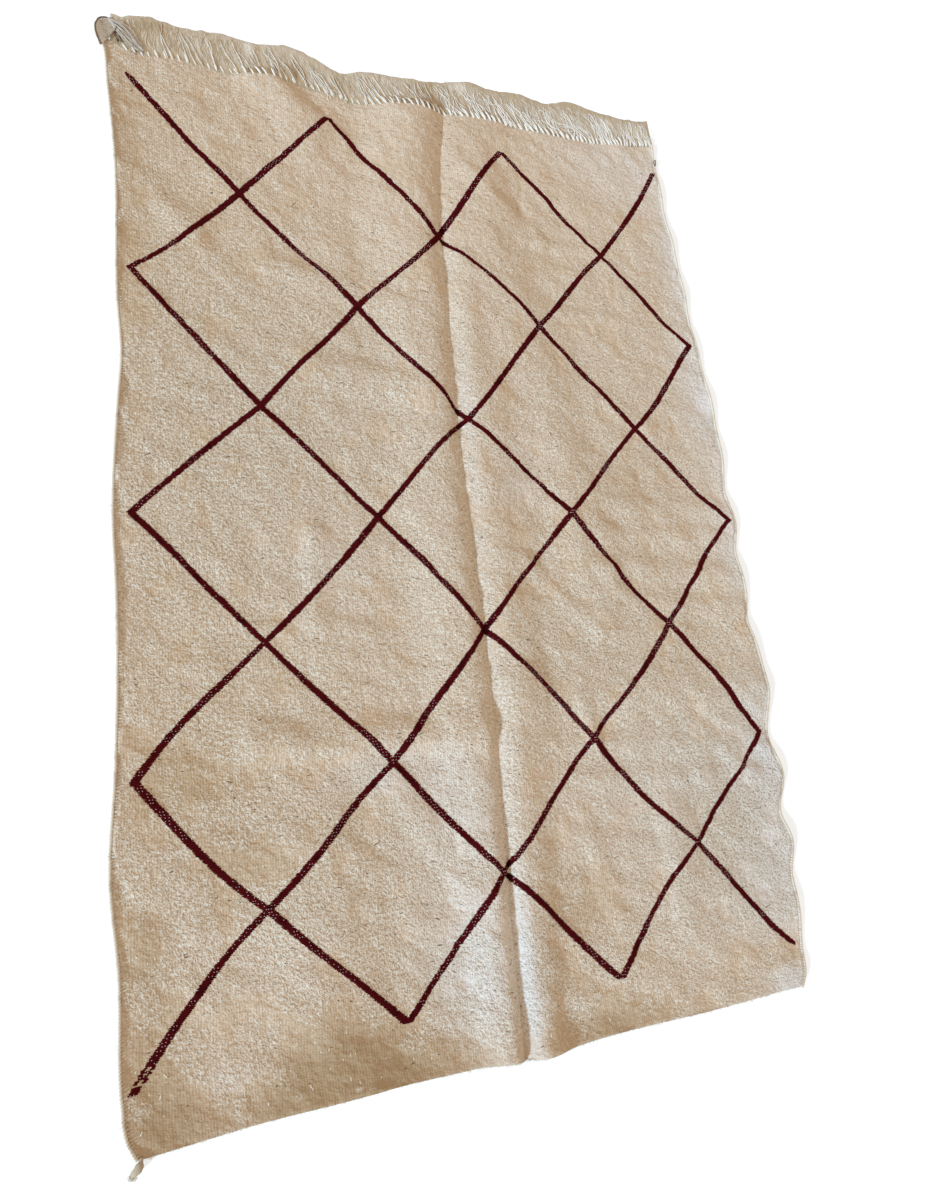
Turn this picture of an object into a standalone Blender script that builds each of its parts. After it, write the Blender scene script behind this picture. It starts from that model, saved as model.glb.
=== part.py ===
"""A flat-woven wool rug with one fringed end, lying on a floor.

The rug is one thin cloth with an overcast cord down each long edge, a comb of
knotted warp ends across its upper end, a small bound tab at the upper left
corner and a knotted tail at the lower left one. It lies with its pattern up:
+X runs across it, +Y along it towards the fringe, and +Z up from the floor.
The origin is on the floor below the middle of the whole rug.

It once lay folded in half, so a sharp crease runs down its middle, touches the
floor, and stands between two soft humps. Lower waves cross the rest of it.
"""

import math
from collections import namedtuple

import bmesh
import bpy
import numpy as np
from mathutils import Vector

# Thicknesses and gaps, in metres.
CLOTH_THICK = 0.004
CORD_RADIUS = 0.0035
PIECE_GAP = 0.0004
CORNER_GAP = 0.0008

# How finely the cloth is divided.
ROWS = 46
COLUMNS_PER_HALF = 11
CREASE_CROWDING = 1.8

# About where the long sides are, for finding a place along the ends.
LEFT_SIDE = -0.80
RIGHT_SIDE = 0.76

# The outline, in metres. A mark on a long edge says how far across the rug's
# outer side lies at that place along it, and a mark on an end the reverse.
Mark = namedtuple("Mark", "at reach")
LEFT_EDGE = (
    Mark(-1.240, -0.780), Mark(-1.205, -0.797), Mark(-1.145, -0.805),
    Mark(-0.940, -0.808), Mark(-0.770, -0.822), Mark(-0.570, -0.811),
    Mark(-0.190, -0.808), Mark(-0.090, -0.812), Mark(0.200, -0.800),
    Mark(0.295, -0.793), Mark(0.435, -0.800), Mark(0.780, -0.802),
    Mark(0.990, -0.817), Mark(1.085, -0.824), Mark(1.125, -0.834),
)
RIGHT_EDGE = (
    Mark(-1.238, 0.755), Mark(-1.215, 0.771), Mark(-1.150, 0.782),
    Mark(-1.040, 0.791), Mark(-0.978, 0.792), Mark(-0.900, 0.808),
    Mark(-0.836, 0.790), Mark(-0.735, 0.817), Mark(-0.640, 0.793),
    Mark(-0.505, 0.819), Mark(-0.400, 0.809), Mark(-0.335, 0.793),
    Mark(-0.265, 0.805), Mark(-0.125, 0.797), Mark(-0.065, 0.810),
    Mark(0.036, 0.795), Mark(0.110, 0.803), Mark(0.370, 0.797),
    Mark(0.495, 0.782), Mark(0.755, 0.769), Mark(0.925, 0.754),
    Mark(1.158, 0.749),
)
UPPER_END = (
    Mark(-0.800, 1.120), Mark(-0.765, 1.098), Mark(-0.730, 1.093),
    Mark(-0.680, 1.100), Mark(-0.570, 1.095), Mark(-0.460, 1.106),
    Mark(-0.380, 1.101), Mark(-0.306, 1.088), Mark(-0.190, 1.093),
    Mark(-0.130, 1.099), Mark(0.045, 1.112), Mark(0.205, 1.122),
    Mark(0.500, 1.126), Mark(0.620, 1.140), Mark(0.755, 1.164),
)
LOWER_END = (
    Mark(-0.780, -1.236), Mark(-0.610, -1.227), Mark(-0.145, -1.234),
    Mark(0.020, -1.243), Mark(0.260, -1.236), Mark(0.590, -1.241),
    Mark(0.755, -1.238),
)

# The middle crease: where it runs, and the hump on each side of it. A hump
# rises from the crease to its crest and sinks away over its skirt.
Crease = namedtuple(
    "Crease",
    "at across left_rise left_crest left_skirt right_rise right_crest right_skirt",
)
CREASE = (
    Crease(-1.245, -0.009, 0.026, 0.034, 0.084, 0.024, 0.040, 0.090),
    Crease(-0.950, -0.007, 0.024, 0.042, 0.100, 0.022, 0.042, 0.095),
    Crease(-0.550, 0.004, 0.017, 0.052, 0.140, 0.018, 0.054, 0.120),
    Crease(-0.150, -0.002, 0.023, 0.064, 0.150, 0.018, 0.056, 0.130),
    Crease(0.150, -0.009, 0.018, 0.060, 0.170, 0.017, 0.058, 0.160),
    Crease(0.500, -0.002, 0.021, 0.068, 0.170, 0.017, 0.060, 0.200),
    Crease(0.850, 0.008, 0.026, 0.080, 0.180, 0.015, 0.060, 0.220),
    Crease(1.165, 0.052, 0.030, 0.104, 0.170, 0.010, 0.066, 0.200),
)

# The other soft waves. Each is a ridge from its start to its end, with the
# width of its slope on the left and right hand of someone walking along it.
Wave = namedtuple("Wave", "x0 y0 x1 y1 rise left_slope right_slope")
WAVES = (
    Wave(-0.460, 1.150, -0.340, 0.950, 0.012, 0.090, 0.130),
    Wave(0.135, 0.900, 0.345, -0.300, 0.010, 0.120, 0.110),
    Wave(-0.540, -0.550, -0.040, -0.565, 0.015, 0.068, 0.056),
    Wave(0.100, -0.490, 0.760, -0.500, 0.009, 0.130, 0.080),
    Wave(0.360, -0.085, 0.760, -0.100, 0.006, 0.045, 0.045),
    Wave(0.360, -0.175, 0.740, -0.200, 0.006, 0.045, 0.045),
    Wave(-0.400, 0.310, -0.060, 0.270, 0.010, 0.070, 0.080),
    Wave(-0.420, -0.760, -0.400, -1.160, 0.014, 0.150, 0.200),
    Wave(0.440, -0.800, 0.450, -1.040, 0.007, 0.100, 0.050),
)
WAVE_FADE = 0.030

# How the long rims curl up off the floor: how high and over what width, and
# how that height comes and goes along the rim, as shares of it.
Curl = namedtuple("Curl", "height width steady ripple pitch shift")
LEFT_CURL = Curl(0.007, 0.090, 0.60, 0.40, 0.396, 0.0)
RIGHT_CURL = Curl(0.008, 0.090, 0.55, 0.45, 0.172, 0.073)

# How the lower end curls up: how high and over what width, at places across the rug.
Rim = namedtuple("Rim", "at height width")
END_CURL = (
    Rim(-0.800, 0.010, 0.120), Rim(-0.600, 0.017, 0.125), Rim(-0.300, 0.017, 0.110),
    Rim(-0.120, 0.010, 0.080), Rim(-0.030, 0.000, 0.060), Rim(0.100, 0.007, 0.050),
    Rim(0.350, 0.007, 0.045), Rim(0.550, 0.002, 0.045), Rim(0.760, 0.002, 0.045),
)

# The fringe: knotted bundles of warp ends.
BUNDLES = 88
FRINGE_START = -0.772
FRINGE_STOP = 0.738
ROOT_THICK = 0.005
BUNDLE_WIDTH = 0.0095
LENGTH_SWAY = 0.002
STRAND_LEAN = -0.012
LEAN_SWAY = 0.003

# How far up the rug's length the fringe's tips reach, at places across it.
FRINGE_TIPS = (
    Mark(-0.780, 1.190), Mark(-0.730, 1.205), Mark(-0.650, 1.197), Mark(-0.540, 1.207),
    Mark(-0.480, 1.202), Mark(-0.370, 1.216), Mark(-0.300, 1.195), Mark(-0.250, 1.172),
    Mark(-0.190, 1.188), Mark(-0.050, 1.206), Mark(0.030, 1.213), Mark(0.090, 1.232),
    Mark(0.150, 1.244), Mark(0.200, 1.233), Mark(0.300, 1.244), Mark(0.390, 1.232),
    Mark(0.460, 1.258), Mark(0.550, 1.248), Mark(0.700, 1.247), Mark(0.760, 1.258),
)

# The comb from the cloth's rim to its tips. Each section gives how far out it
# lies, as a share of the strand, and its shares of the width, lean and lift.
Section = namedtuple("Section", "out width lean lift")
SECTIONS = (
    Section(0.00, 1.00, 0.0, 1.00),
    Section(0.10, 1.00, 0.0, 0.95),
    Section(0.55, 0.80, 0.4, 0.50),
    Section(1.00, 0.55, 1.0, 0.00),
)

# The bound ear at the upper left corner, a rounded tongue wider at its top.
TAB_WIDTH = 0.046
TAB_FOOT_SHARE = 0.70
TAB_LENGTH = 0.052
TAB_THICK = 0.005
TAB_TURN = math.radians(-12)
TAB_SIDES = 20

# The knotted tail at the lower left corner: how thick it is along its length.
TASSEL_LENGTH = 0.027
TASSEL_INSET = 0.004
TASSEL_SWERVE = 0.014
Knot = namedtuple("Knot", "share radius")
TASSEL = (
    Knot(0.00, 0.0035), Knot(0.22, 0.0039), Knot(0.42, 0.0065),
    Knot(0.60, 0.0072), Knot(0.80, 0.0067), Knot(1.00, 0.0048),
)

# Colours of the wool, in linear light.
CREAM = (0.62, 0.50, 0.36)
PALE = (0.72, 0.66, 0.56)
TAN = (0.55, 0.43, 0.29)


def smooth_line(marks, at):
    """The marks' second column at each place, on a curve through them all."""
    known = np.array([m[0] for m in marks])
    value = np.array([m[1] for m in marks])
    slope = np.gradient(value, known)
    at = np.clip(np.asarray(at, float), known[0], known[-1])
    low = np.clip(np.searchsorted(known, at) - 1, 0, len(known) - 2)
    span = known[low + 1] - known[low]
    t = (at - known[low]) / span
    return (
        (2 * t**3 - 3 * t**2 + 1) * value[low]
        + (t**3 - 2 * t**2 + t) * span * slope[low]
        + (3 * t**2 - 2 * t**3) * value[low + 1]
        + (t**3 - t**2) * span * slope[low + 1]
    )


def crease_at(y, column):
    """One column of the crease table at each place along the rug."""
    marks = [(row.at, getattr(row, column)) for row in CREASE]
    return smooth_line(marks, y)


def hump(away, rise, crest, skirt):
    """A rounded rise to the crest, steepest at the crease, then a soft fall."""
    climb = np.clip(away / crest, 0, 1)
    fall = np.clip((away - crest) / skirt, 0, 1)
    return rise * (2 * climb - climb**2) * (1 + np.cos(math.pi * fall)) / 2


def wave_height(wave, x, y):
    """A ridge along a straight line, with rounded slopes and ends."""
    length = math.hypot(wave.x1 - wave.x0, wave.y1 - wave.y0)
    ux = (wave.x1 - wave.x0) / length
    uy = (wave.y1 - wave.y0) / length
    along = (x - wave.x0) * ux + (y - wave.y0) * uy
    side = (y - wave.y0) * ux - (x - wave.x0) * uy
    slope = np.where(side > 0, wave.left_slope, wave.right_slope)
    past = np.maximum(np.maximum(-along, along - length), 0)
    ease = (wave.left_slope + wave.right_slope) / 2
    off = np.clip(np.hypot(side / slope, past / ease), 0, 1)
    return wave.rise * (1 + np.cos(math.pi * off)) / 2


def rim_curl(curl, y, inward):
    """How far a long rim curls up, this far in from it."""
    share = curl.steady + curl.ripple * np.sin(2 * math.pi * (y + curl.shift) / curl.pitch)
    return curl.height * share * (1 - np.clip(inward / curl.width, 0, 1)) ** 2


def end_curl(x, y):
    """How far the lower end curls up."""
    height = smooth_line([(rim.at, rim.height) for rim in END_CURL], x)
    width = smooth_line([(rim.at, rim.width) for rim in END_CURL], x)
    inward = np.clip((y - smooth_line(LOWER_END, x)) / width, 0, 1)
    return np.maximum(height, 0) * (1 - inward) ** 2


def crease_lift(off, y):
    """The two humps beside the crease, this far across from it."""
    left = hump(
        -off, crease_at(y, "left_rise"), crease_at(y, "left_crest"), crease_at(y, "left_skirt")
    )
    right = hump(
        off, crease_at(y, "right_rise"), crease_at(y, "right_crest"), crease_at(y, "right_skirt")
    )
    return np.where(off < 0, left, right)


def lift(x, y):
    """How far the cloth's underside stands off the floor, never below it."""
    x = np.asarray(x, float)
    y = np.asarray(y, float)
    off = x - crease_at(y, "across")
    waves = sum(wave_height(wave, x, y) for wave in WAVES)
    waves = waves * np.clip(np.abs(off) / WAVE_FADE, 0, 1)
    curl = rim_curl(LEFT_CURL, y, x - smooth_line(LEFT_EDGE, y))
    curl = curl + rim_curl(RIGHT_CURL, y, smooth_line(RIGHT_EDGE, y) - x)
    return crease_lift(off, y) + waves + curl + end_curl(x, y)


def lie(s, t):
    """Where a point of the cloth lies: s runs across and t along, 0 to 1."""
    across = LEFT_SIDE + (RIGHT_SIDE - LEFT_SIDE) * s
    y = smooth_line(LOWER_END, across) * (1 - t) + smooth_line(UPPER_END, across) * t
    rim = 2 * CORD_RADIUS + PIECE_GAP
    left = smooth_line(LEFT_EDGE, y) + rim
    right = smooth_line(RIGHT_EDGE, y) - rim
    middle = crease_at(y, "across")
    near = np.abs(2 * s - 1) ** CREASE_CROWDING
    x = middle + near * np.where(s < 0.5, left - middle, right - middle)
    return x, y


def add_object(name, data, collection, colour, roughness):
    """An object with a material of its own, linked to the rug's collection."""
    material = bpy.data.materials.new(name)
    material.use_nodes = True
    shader = material.node_tree.nodes["Principled BSDF"]
    shader.inputs["Base Color"].default_value = (*colour, 1)
    shader.inputs["Roughness"].default_value = roughness
    shader.inputs["Metallic"].default_value = 0
    material.diffuse_color = (*colour, 1)
    data.materials.append(material)
    made = bpy.data.objects.new(name, data)
    collection.objects.link(made)
    return made


def thickened(bm, name, thickness):
    """A closed mesh: the drawn surface is its underside and its rims are upright."""
    grown = bmesh.ops.extrude_face_region(bm, geom=list(bm.faces))["geom"]
    upper = [item for item in grown if isinstance(item, bmesh.types.BMVert)]
    bmesh.ops.translate(bm, verts=upper, vec=(0, 0, thickness))
    bmesh.ops.recalc_face_normals(bm, faces=list(bm.faces))
    mesh = bpy.data.meshes.new(name)
    bm.to_mesh(mesh)
    bm.free()
    return mesh


def make_field(collection):
    """The woven cloth, a grid laid out over the floor and its folds."""
    bm = bmesh.new()
    columns = 2 * COLUMNS_PER_HALF
    bmesh.ops.create_grid(bm, x_segments=columns, y_segments=ROWS, size=0.5)
    s = np.array([v.co.x for v in bm.verts]) + 0.5
    t = np.array([v.co.y for v in bm.verts]) + 0.5
    x, y = lie(s, t)
    z = lift(x, y)
    for vert, place in zip(bm.verts, zip(x, y, z)):
        vert.co = place
    mesh = thickened(bm, "field", CLOTH_THICK)
    mesh.shade_smooth()
    mesh.set_sharp_from_angle(angle=math.radians(50))
    return add_object("field", mesh, collection, CREAM, 0.95)


def make_cord(name, points, radii, collection, colour):
    """A round cord through the points, thick as the radii say, closed at its ends."""
    curve = bpy.data.curves.new(name, "CURVE")
    curve.dimensions = "3D"
    curve.bevel_depth = 1
    curve.bevel_resolution = 2
    curve.use_fill_caps = True
    line = curve.splines.new("POLY")
    line.points.add(len(points) - 1)
    for point, place, radius in zip(line.points, points, radii):
        point.co = (*place, 1)
        point.radius = radius
    return add_object(name, curve, collection, colour, 0.9)


def make_selvedge(name, side, collection):
    """The overcast cord along one long edge, resting as the cloth beside it does."""
    t = np.linspace(0, 1, ROWS + 1)
    x, y = lie(np.full_like(t, (side + 1) / 2), t)
    z = lift(x, y) + CORD_RADIUS
    swerve = np.gradient(x, y)
    out = side * (CORD_RADIUS + PIECE_GAP) / np.hypot(1, swerve)
    points = list(zip(x + out, y - out * swerve, z))
    return make_cord(name, points, [CORD_RADIUS] * len(points), collection, PALE)


def comb_root():
    """The comb's stations along the cloth's upper rim, one at each corner of the rim."""
    rim_x, rim_y = lie(np.linspace(0, 1, 2 * COLUMNS_PER_HALF + 1), 1.0)
    middles = np.linspace(FRINGE_START, FRINGE_STOP, BUNDLES)
    x = np.ravel(np.column_stack([middles - BUNDLE_WIDTH / 2, middles + BUNDLE_WIDTH / 2]))
    inside = rim_x[(rim_x > x[0]) & (rim_x < x[-1])]
    x[np.abs(x[:, None] - inside).argmin(axis=0)] = inside
    return x, np.interp(x, rim_x, rim_y) + PIECE_GAP


def comb_point(station, row, root_x, root_y):
    """A corner of the comb: which side of which bundle, and which section."""
    if row == 0:
        return Vector((root_x[station], root_y[station], lift(root_x[station], root_y[station])))
    bundle, half = divmod(station, 2)
    section = SECTIONS[row]
    middle = FRINGE_START + (FRINGE_STOP - FRINGE_START) * bundle / (BUNDLES - 1)
    foot = (root_y[2 * bundle] + root_y[2 * bundle + 1]) / 2
    sway = math.sin(2.1 * bundle) + 0.6 * math.sin(5.3 * bundle + 1)
    length = float(smooth_line(FRINGE_TIPS, middle)) - foot + LENGTH_SWAY * sway
    x = middle + section.lean * (STRAND_LEAN + LEAN_SWAY * sway)
    x = x + (half - 0.5) * section.width * BUNDLE_WIDTH
    return Vector((x, foot + section.out * length, section.lift * lift(middle, foot)))


def make_fringe(collection):
    """The comb: a root bar along the upper end and a tapering tooth a bundle."""
    bm = bmesh.new()
    stations = 2 * BUNDLES
    bmesh.ops.create_grid(bm, x_segments=stations - 1, y_segments=1, size=0.5)
    for vert in bm.verts:
        vert.co.x = round((vert.co.x + 0.5) * (stations - 1))
        vert.co.y = round(vert.co.y + 0.5)
    outer = []
    for edge in bm.edges:
        low, high = sorted(vert.co.x for vert in edge.verts)
        if all(vert.co.y == 1 for vert in edge.verts) and low % 2 == 0:
            outer.append(edge)
    for row in range(2, len(SECTIONS)):
        grown = bmesh.ops.extrude_edge_only(bm, edges=outer)["geom"]
        for vert in grown:
            if isinstance(vert, bmesh.types.BMVert):
                vert.co.y = row
        outer = [
            edge for edge in grown
            if isinstance(edge, bmesh.types.BMEdge) and all(v.co.y == row for v in edge.verts)
        ]
    root_x, root_y = comb_root()
    for vert in bm.verts:
        vert.co = comb_point(round(vert.co.x), round(vert.co.y), root_x, root_y)
    return add_object("fringe", thickened(bm, "fringe", ROOT_THICK), collection, PALE, 0.9)


def make_tab(collection):
    """The bound ear of warp ends at the upper left corner, a flat rounded tongue."""
    corner_x, corner_y = lie(np.array(0.0), np.array(1.0))
    outline = bpy.data.curves.new("corner_tab", "CURVE")
    outline.dimensions = "2D"
    outline.fill_mode = "BOTH"
    outline.extrude = TAB_THICK / 2
    line = outline.splines.new("POLY")
    line.points.add(TAB_SIDES - 1)
    for i, point in enumerate(line.points):
        angle = 2 * math.pi * i / TAB_SIDES
        up = (1 - math.cos(angle)) / 2
        wide = TAB_FOOT_SHARE + (1 - TAB_FOOT_SHARE) * up**0.7
        point.co = (-wide * TAB_WIDTH / 2 * math.sin(angle), TAB_LENGTH * up, 0, 1)
    line.use_cyclic_u = True
    tab = add_object("corner_tab", outline, collection, PALE, 0.9)
    height = float(lift(corner_x, corner_y)) + TAB_THICK / 2
    tab.location = (float(corner_x), float(corner_y) + CORNER_GAP, height)
    tab.rotation_euler.z = TAB_TURN
    return tab


def make_tassel(collection):
    """The knotted tail at the lower left corner: a neck, a knot and a brush."""
    corner_x, corner_y = lie(np.array(0.0), np.array(0.0))
    points = []
    for share, radius in TASSEL:
        x = float(corner_x) + TASSEL_INSET - TASSEL_SWERVE * share**2
        y = float(corner_y) - CORNER_GAP - TASSEL_LENGTH * share
        rest = float(lift(corner_x, corner_y)) * (1 - share**2)
        points.append((x, y, rest + radius))
    return make_cord("corner_tassel", points, [knot.radius for knot in TASSEL], collection, TAN)


def main():
    """Clear the scene and lay the rug out."""
    for old in list(bpy.data.objects):
        bpy.data.objects.remove(old, do_unlink=True)
    rug = bpy.data.collections.new("kilim_rug")
    bpy.context.scene.collection.children.link(rug)
    make_field(rug)
    make_selvedge("selvedge_left", -1, rug)
    make_selvedge("selvedge_right", 1, rug)
    make_fringe(rug)
    make_tab(rug)
    make_tassel(rug)


main()
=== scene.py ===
"""A flat-woven wool rug, lying with its fringe at the far end, as a Blender add-on.

Each operator makes one piece, or one group of like pieces, around the rug's
solid model. +X runs across the rug, +Y along it towards the fringe and +Z up.
"""

import math
from collections import namedtuple

import bpy
import numpy as np
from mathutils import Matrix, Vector


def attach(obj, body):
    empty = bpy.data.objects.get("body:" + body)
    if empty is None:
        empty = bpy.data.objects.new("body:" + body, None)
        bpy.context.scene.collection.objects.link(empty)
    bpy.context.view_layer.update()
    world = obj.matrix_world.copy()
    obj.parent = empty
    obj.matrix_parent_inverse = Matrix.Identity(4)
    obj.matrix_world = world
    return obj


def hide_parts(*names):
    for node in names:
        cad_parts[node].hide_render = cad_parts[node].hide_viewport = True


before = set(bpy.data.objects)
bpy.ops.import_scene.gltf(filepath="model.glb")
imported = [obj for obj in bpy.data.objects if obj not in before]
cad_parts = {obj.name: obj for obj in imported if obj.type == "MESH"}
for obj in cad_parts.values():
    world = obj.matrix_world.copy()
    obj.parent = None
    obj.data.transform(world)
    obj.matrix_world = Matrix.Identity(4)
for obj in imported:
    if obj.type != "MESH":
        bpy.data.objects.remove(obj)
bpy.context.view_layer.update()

bl_info = {
    "name": "Kilim Rug",
    "version": (1, 0, 0),
    "blender": (4, 5, 0),
    "location": "View3D > Sidebar > Rug",
    "description": "Makes a cream flat-woven rug with a dark diamond lattice and a fringe",
    "category": "Add Mesh",
}

BODY = "root"

# --- The lie of the cloth -------------------------------------------------
# These are the solid's own sizes: its outline, its crease and its waves.

CLOTH_THICK = 0.004
CORD_RADIUS = 0.0035
PIECE_GAP = 0.0004
LEFT_SIDE = -0.80
RIGHT_SIDE = 0.76
CORD_LENGTH = 2.4
RIM_STEPS = 400


def table(columns, *rows):
    """A table: the names of its columns, and rows of numbers. A number left out
    at the end of a row is nought."""
    row_of = namedtuple("Row", columns, defaults=[0.0] * len(columns.split()))
    return tuple(row_of(*row) for row in rows)


MARK = "at reach"
LEFT_EDGE = table(
    MARK,
    (-1.24, -0.78), (-1.205, -0.797), (-1.145, -0.805), (-0.94, -0.808), (-0.77, -0.822),
    (-0.57, -0.811), (-0.19, -0.808), (-0.09, -0.812), (0.2, -0.8), (0.295, -0.793),
    (0.435, -0.8), (0.78, -0.802), (0.99, -0.817), (1.085, -0.824), (1.125, -0.834),
)
RIGHT_EDGE = table(
    MARK,
    (-1.238, 0.755), (-1.215, 0.771), (-1.15, 0.782), (-1.04, 0.791), (-0.978, 0.792),
    (-0.9, 0.808), (-0.836, 0.79), (-0.735, 0.817), (-0.64, 0.793), (-0.505, 0.819),
    (-0.4, 0.809), (-0.335, 0.793), (-0.265, 0.805), (-0.125, 0.797), (-0.065, 0.81),
    (0.036, 0.795), (0.11, 0.803), (0.37, 0.797), (0.495, 0.782), (0.755, 0.769), (0.925, 0.754),
    (1.158, 0.749),
)
UPPER_END = table(
    MARK,
    (-0.8, 1.12), (-0.765, 1.098), (-0.73, 1.093), (-0.68, 1.1), (-0.57, 1.095), (-0.46, 1.106),
    (-0.38, 1.101), (-0.306, 1.088), (-0.19, 1.093), (-0.13, 1.099), (0.045, 1.112),
    (0.205, 1.122), (0.5, 1.126), (0.62, 1.14), (0.755, 1.164),
)
LOWER_END = table(
    MARK,
    (-0.78, -1.236), (-0.61, -1.227), (-0.145, -1.234), (0.02, -1.243), (0.26, -1.236),
    (0.59, -1.241), (0.755, -1.238),
)

CREASE = table(
    "at across left_rise left_crest left_skirt right_rise right_crest right_skirt",
    (-1.245, -0.009, 0.026, 0.034, 0.084, 0.024, 0.04, 0.09),
    (-0.95, -0.007, 0.024, 0.042, 0.1, 0.022, 0.042, 0.095),
    (-0.55, 0.004, 0.017, 0.052, 0.14, 0.018, 0.054, 0.12),
    (-0.15, -0.002, 0.023, 0.064, 0.15, 0.018, 0.056, 0.13),
    (0.15, -0.009, 0.018, 0.06, 0.17, 0.017, 0.058, 0.16),
    (0.5, -0.002, 0.021, 0.068, 0.17, 0.017, 0.06, 0.2),
    (0.85, 0.008, 0.026, 0.08, 0.18, 0.015, 0.06, 0.22),
    (1.165, 0.052, 0.03, 0.104, 0.17, 0.01, 0.066, 0.2),
)

WAVE = "x0 y0 x1 y1 rise left_slope right_slope"
WAVES = table(
    WAVE,
    (-0.46, 1.15, -0.34, 0.95, 0.012, 0.09, 0.13),
    (0.135, 0.9, 0.345, -0.3, 0.01, 0.12, 0.11),
    (-0.54, -0.55, -0.04, -0.565, 0.015, 0.068, 0.056),
    (0.1, -0.49, 0.76, -0.5, 0.009, 0.13, 0.08),
    (0.36, -0.085, 0.76, -0.1, 0.006, 0.045, 0.045),
    (0.36, -0.175, 0.74, -0.2, 0.006, 0.045, 0.045),
    (-0.4, 0.31, -0.06, 0.27, 0.01, 0.07, 0.08),
    (-0.42, -0.76, -0.4, -1.16, 0.014, 0.15, 0.2),
    (0.44, -0.8, 0.45, -1.04, 0.007, 0.1, 0.05),
)
WAVE_FADE = 0.03
CROWDING = 1.2

LEFT_CURL, RIGHT_CURL = table(
    "height width steady ripple pitch shift",
    (0.007, 0.09, 0.6, 0.4, 0.396), (0.008, 0.09, 0.55, 0.45, 0.172, 0.073),
)
END_CURL = table(
    "at height width",
    (-0.8, 0.01, 0.12), (-0.6, 0.017, 0.125), (-0.3, 0.017, 0.11), (-0.12, 0.01, 0.08),
    (-0.03, 0.0, 0.06), (0.1, 0.007, 0.05), (0.35, 0.007, 0.045), (0.55, 0.002, 0.045),
    (0.76, 0.002, 0.045),
)


def within(value):
    """The value, held between 0 and 1."""
    return np.clip(value, 0, 1)


def shares(count):
    """This many even steps from 0 to 1."""
    return np.linspace(0, 1, count)


def around(count):
    """This many even turns of a circle, in radians."""
    return 2 * math.pi * np.arange(count) / count


def smooth_line(marks, at):
    """The marks' second column at each place: a cubic between each two marks
    whose slope at a mark is the mean of the slopes on its two sides."""
    known = np.array([m[0] for m in marks])
    value = np.array([m[1] for m in marks])
    slope = np.gradient(value, known)
    at = np.clip(np.asarray(at, float), known[0], known[-1])
    low = np.clip(np.searchsorted(known, at) - 1, 0, len(known) - 2)
    span = known[low + 1] - known[low]
    t = (at - known[low]) / span
    return (
        (2 * t**3 - 3 * t**2 + 1) * value[low]
        + (t**3 - 2 * t**2 + t) * span * slope[low]
        + (3 * t**2 - 2 * t**3) * value[low + 1]
        + (t**3 - t**2) * span * slope[low + 1]
    )


def column_at(rows, column, at):
    """One column of a table at each place, by the table's first column."""
    return smooth_line([(row[0], getattr(row, column)) for row in rows], at)


def hump(away, rise, crest, skirt):
    """A parabola up to the crest, times a half cosine down over the skirt."""
    climb = within(away / crest)
    fall = within((away - crest) / skirt)
    return rise * (2 * climb - climb**2) * (1 + np.cos(math.pi * fall)) / 2


def wave_height(wave, x, y):
    """A raised cosine of the distance from a straight line, over its slopes."""
    wide, long = wave.x1 - wave.x0, wave.y1 - wave.y0
    length = math.hypot(wide, long)
    ux, uy = wide / length, long / length
    along = (x - wave.x0) * ux + (y - wave.y0) * uy
    side = (y - wave.y0) * ux - (x - wave.x0) * uy
    slope = np.where(side > 0, wave.left_slope, wave.right_slope)
    past = np.maximum(np.maximum(-along, along - length), 0)
    ease = (wave.left_slope + wave.right_slope) / 2
    off = within(np.hypot(side / slope, past / ease))
    return wave.rise * (1 + np.cos(math.pi * off)) / 2


def rim_curl(curl, y, inward):
    """A parabola up to the rim, whose height comes and goes as a sine along it."""
    share = curl.steady + curl.ripple * np.sin(2 * math.pi * (y + curl.shift) / curl.pitch)
    return curl.height * share * (1 - within(inward / curl.width)) ** 2


def end_curl(x, y):
    """A parabola up to the lower end, higher in some places than in others."""
    inward = within((y - smooth_line(LOWER_END, x)) / column_at(END_CURL, "width", x))
    return np.maximum(column_at(END_CURL, "height", x), 0) * (1 - inward) ** 2


def waves_at(waves, x, y):
    """The sum of a table of waves, fading out towards the crease."""
    off = np.abs(x - column_at(CREASE, "across", y))
    return sum(wave_height(wave, x, y) for wave in waves) * within(off / WAVE_FADE)


def crease_lift(off, y):
    """The two humps beside the crease, this far across from it."""
    left, right = (
        hump(away, *(column_at(CREASE, side + part, y) for part in ("_rise", "_crest", "_skirt")))
        for side, away in (("left", -off), ("right", off))
    )
    return np.where(off < 0, left, right)


def lift(x, y):
    """How far the cloth's underside stands off the floor: the humps beside the
    crease, plus the waves, plus the curled rims."""
    x = np.asarray(x, float)
    y = np.asarray(y, float)
    humps = crease_lift(x - column_at(CREASE, "across", y), y)
    curl = rim_curl(LEFT_CURL, y, x - smooth_line(LEFT_EDGE, y))
    curl = curl + rim_curl(RIGHT_CURL, y, smooth_line(RIGHT_EDGE, y) - x)
    return humps + waves_at(WAVES, x, y) + curl + end_curl(x, y)


def lie(s, t):
    """Where a point of the cloth lies: s runs across from edge to edge with its
    middle on the crease, crowding towards it, and t along from end to end."""
    across = LEFT_SIDE + (RIGHT_SIDE - LEFT_SIDE) * s
    y = smooth_line(LOWER_END, across) * (1 - t) + smooth_line(UPPER_END, across) * t
    rim = 2 * CORD_RADIUS + PIECE_GAP
    left = smooth_line(LEFT_EDGE, y) + rim
    right = smooth_line(RIGHT_EDGE, y) - rim
    middle = column_at(CREASE, "across", y)
    near = np.abs(2 * s - 1) ** CROWDING
    return middle + near * np.where(s < 0.5, left - middle, right - middle), y


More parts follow.
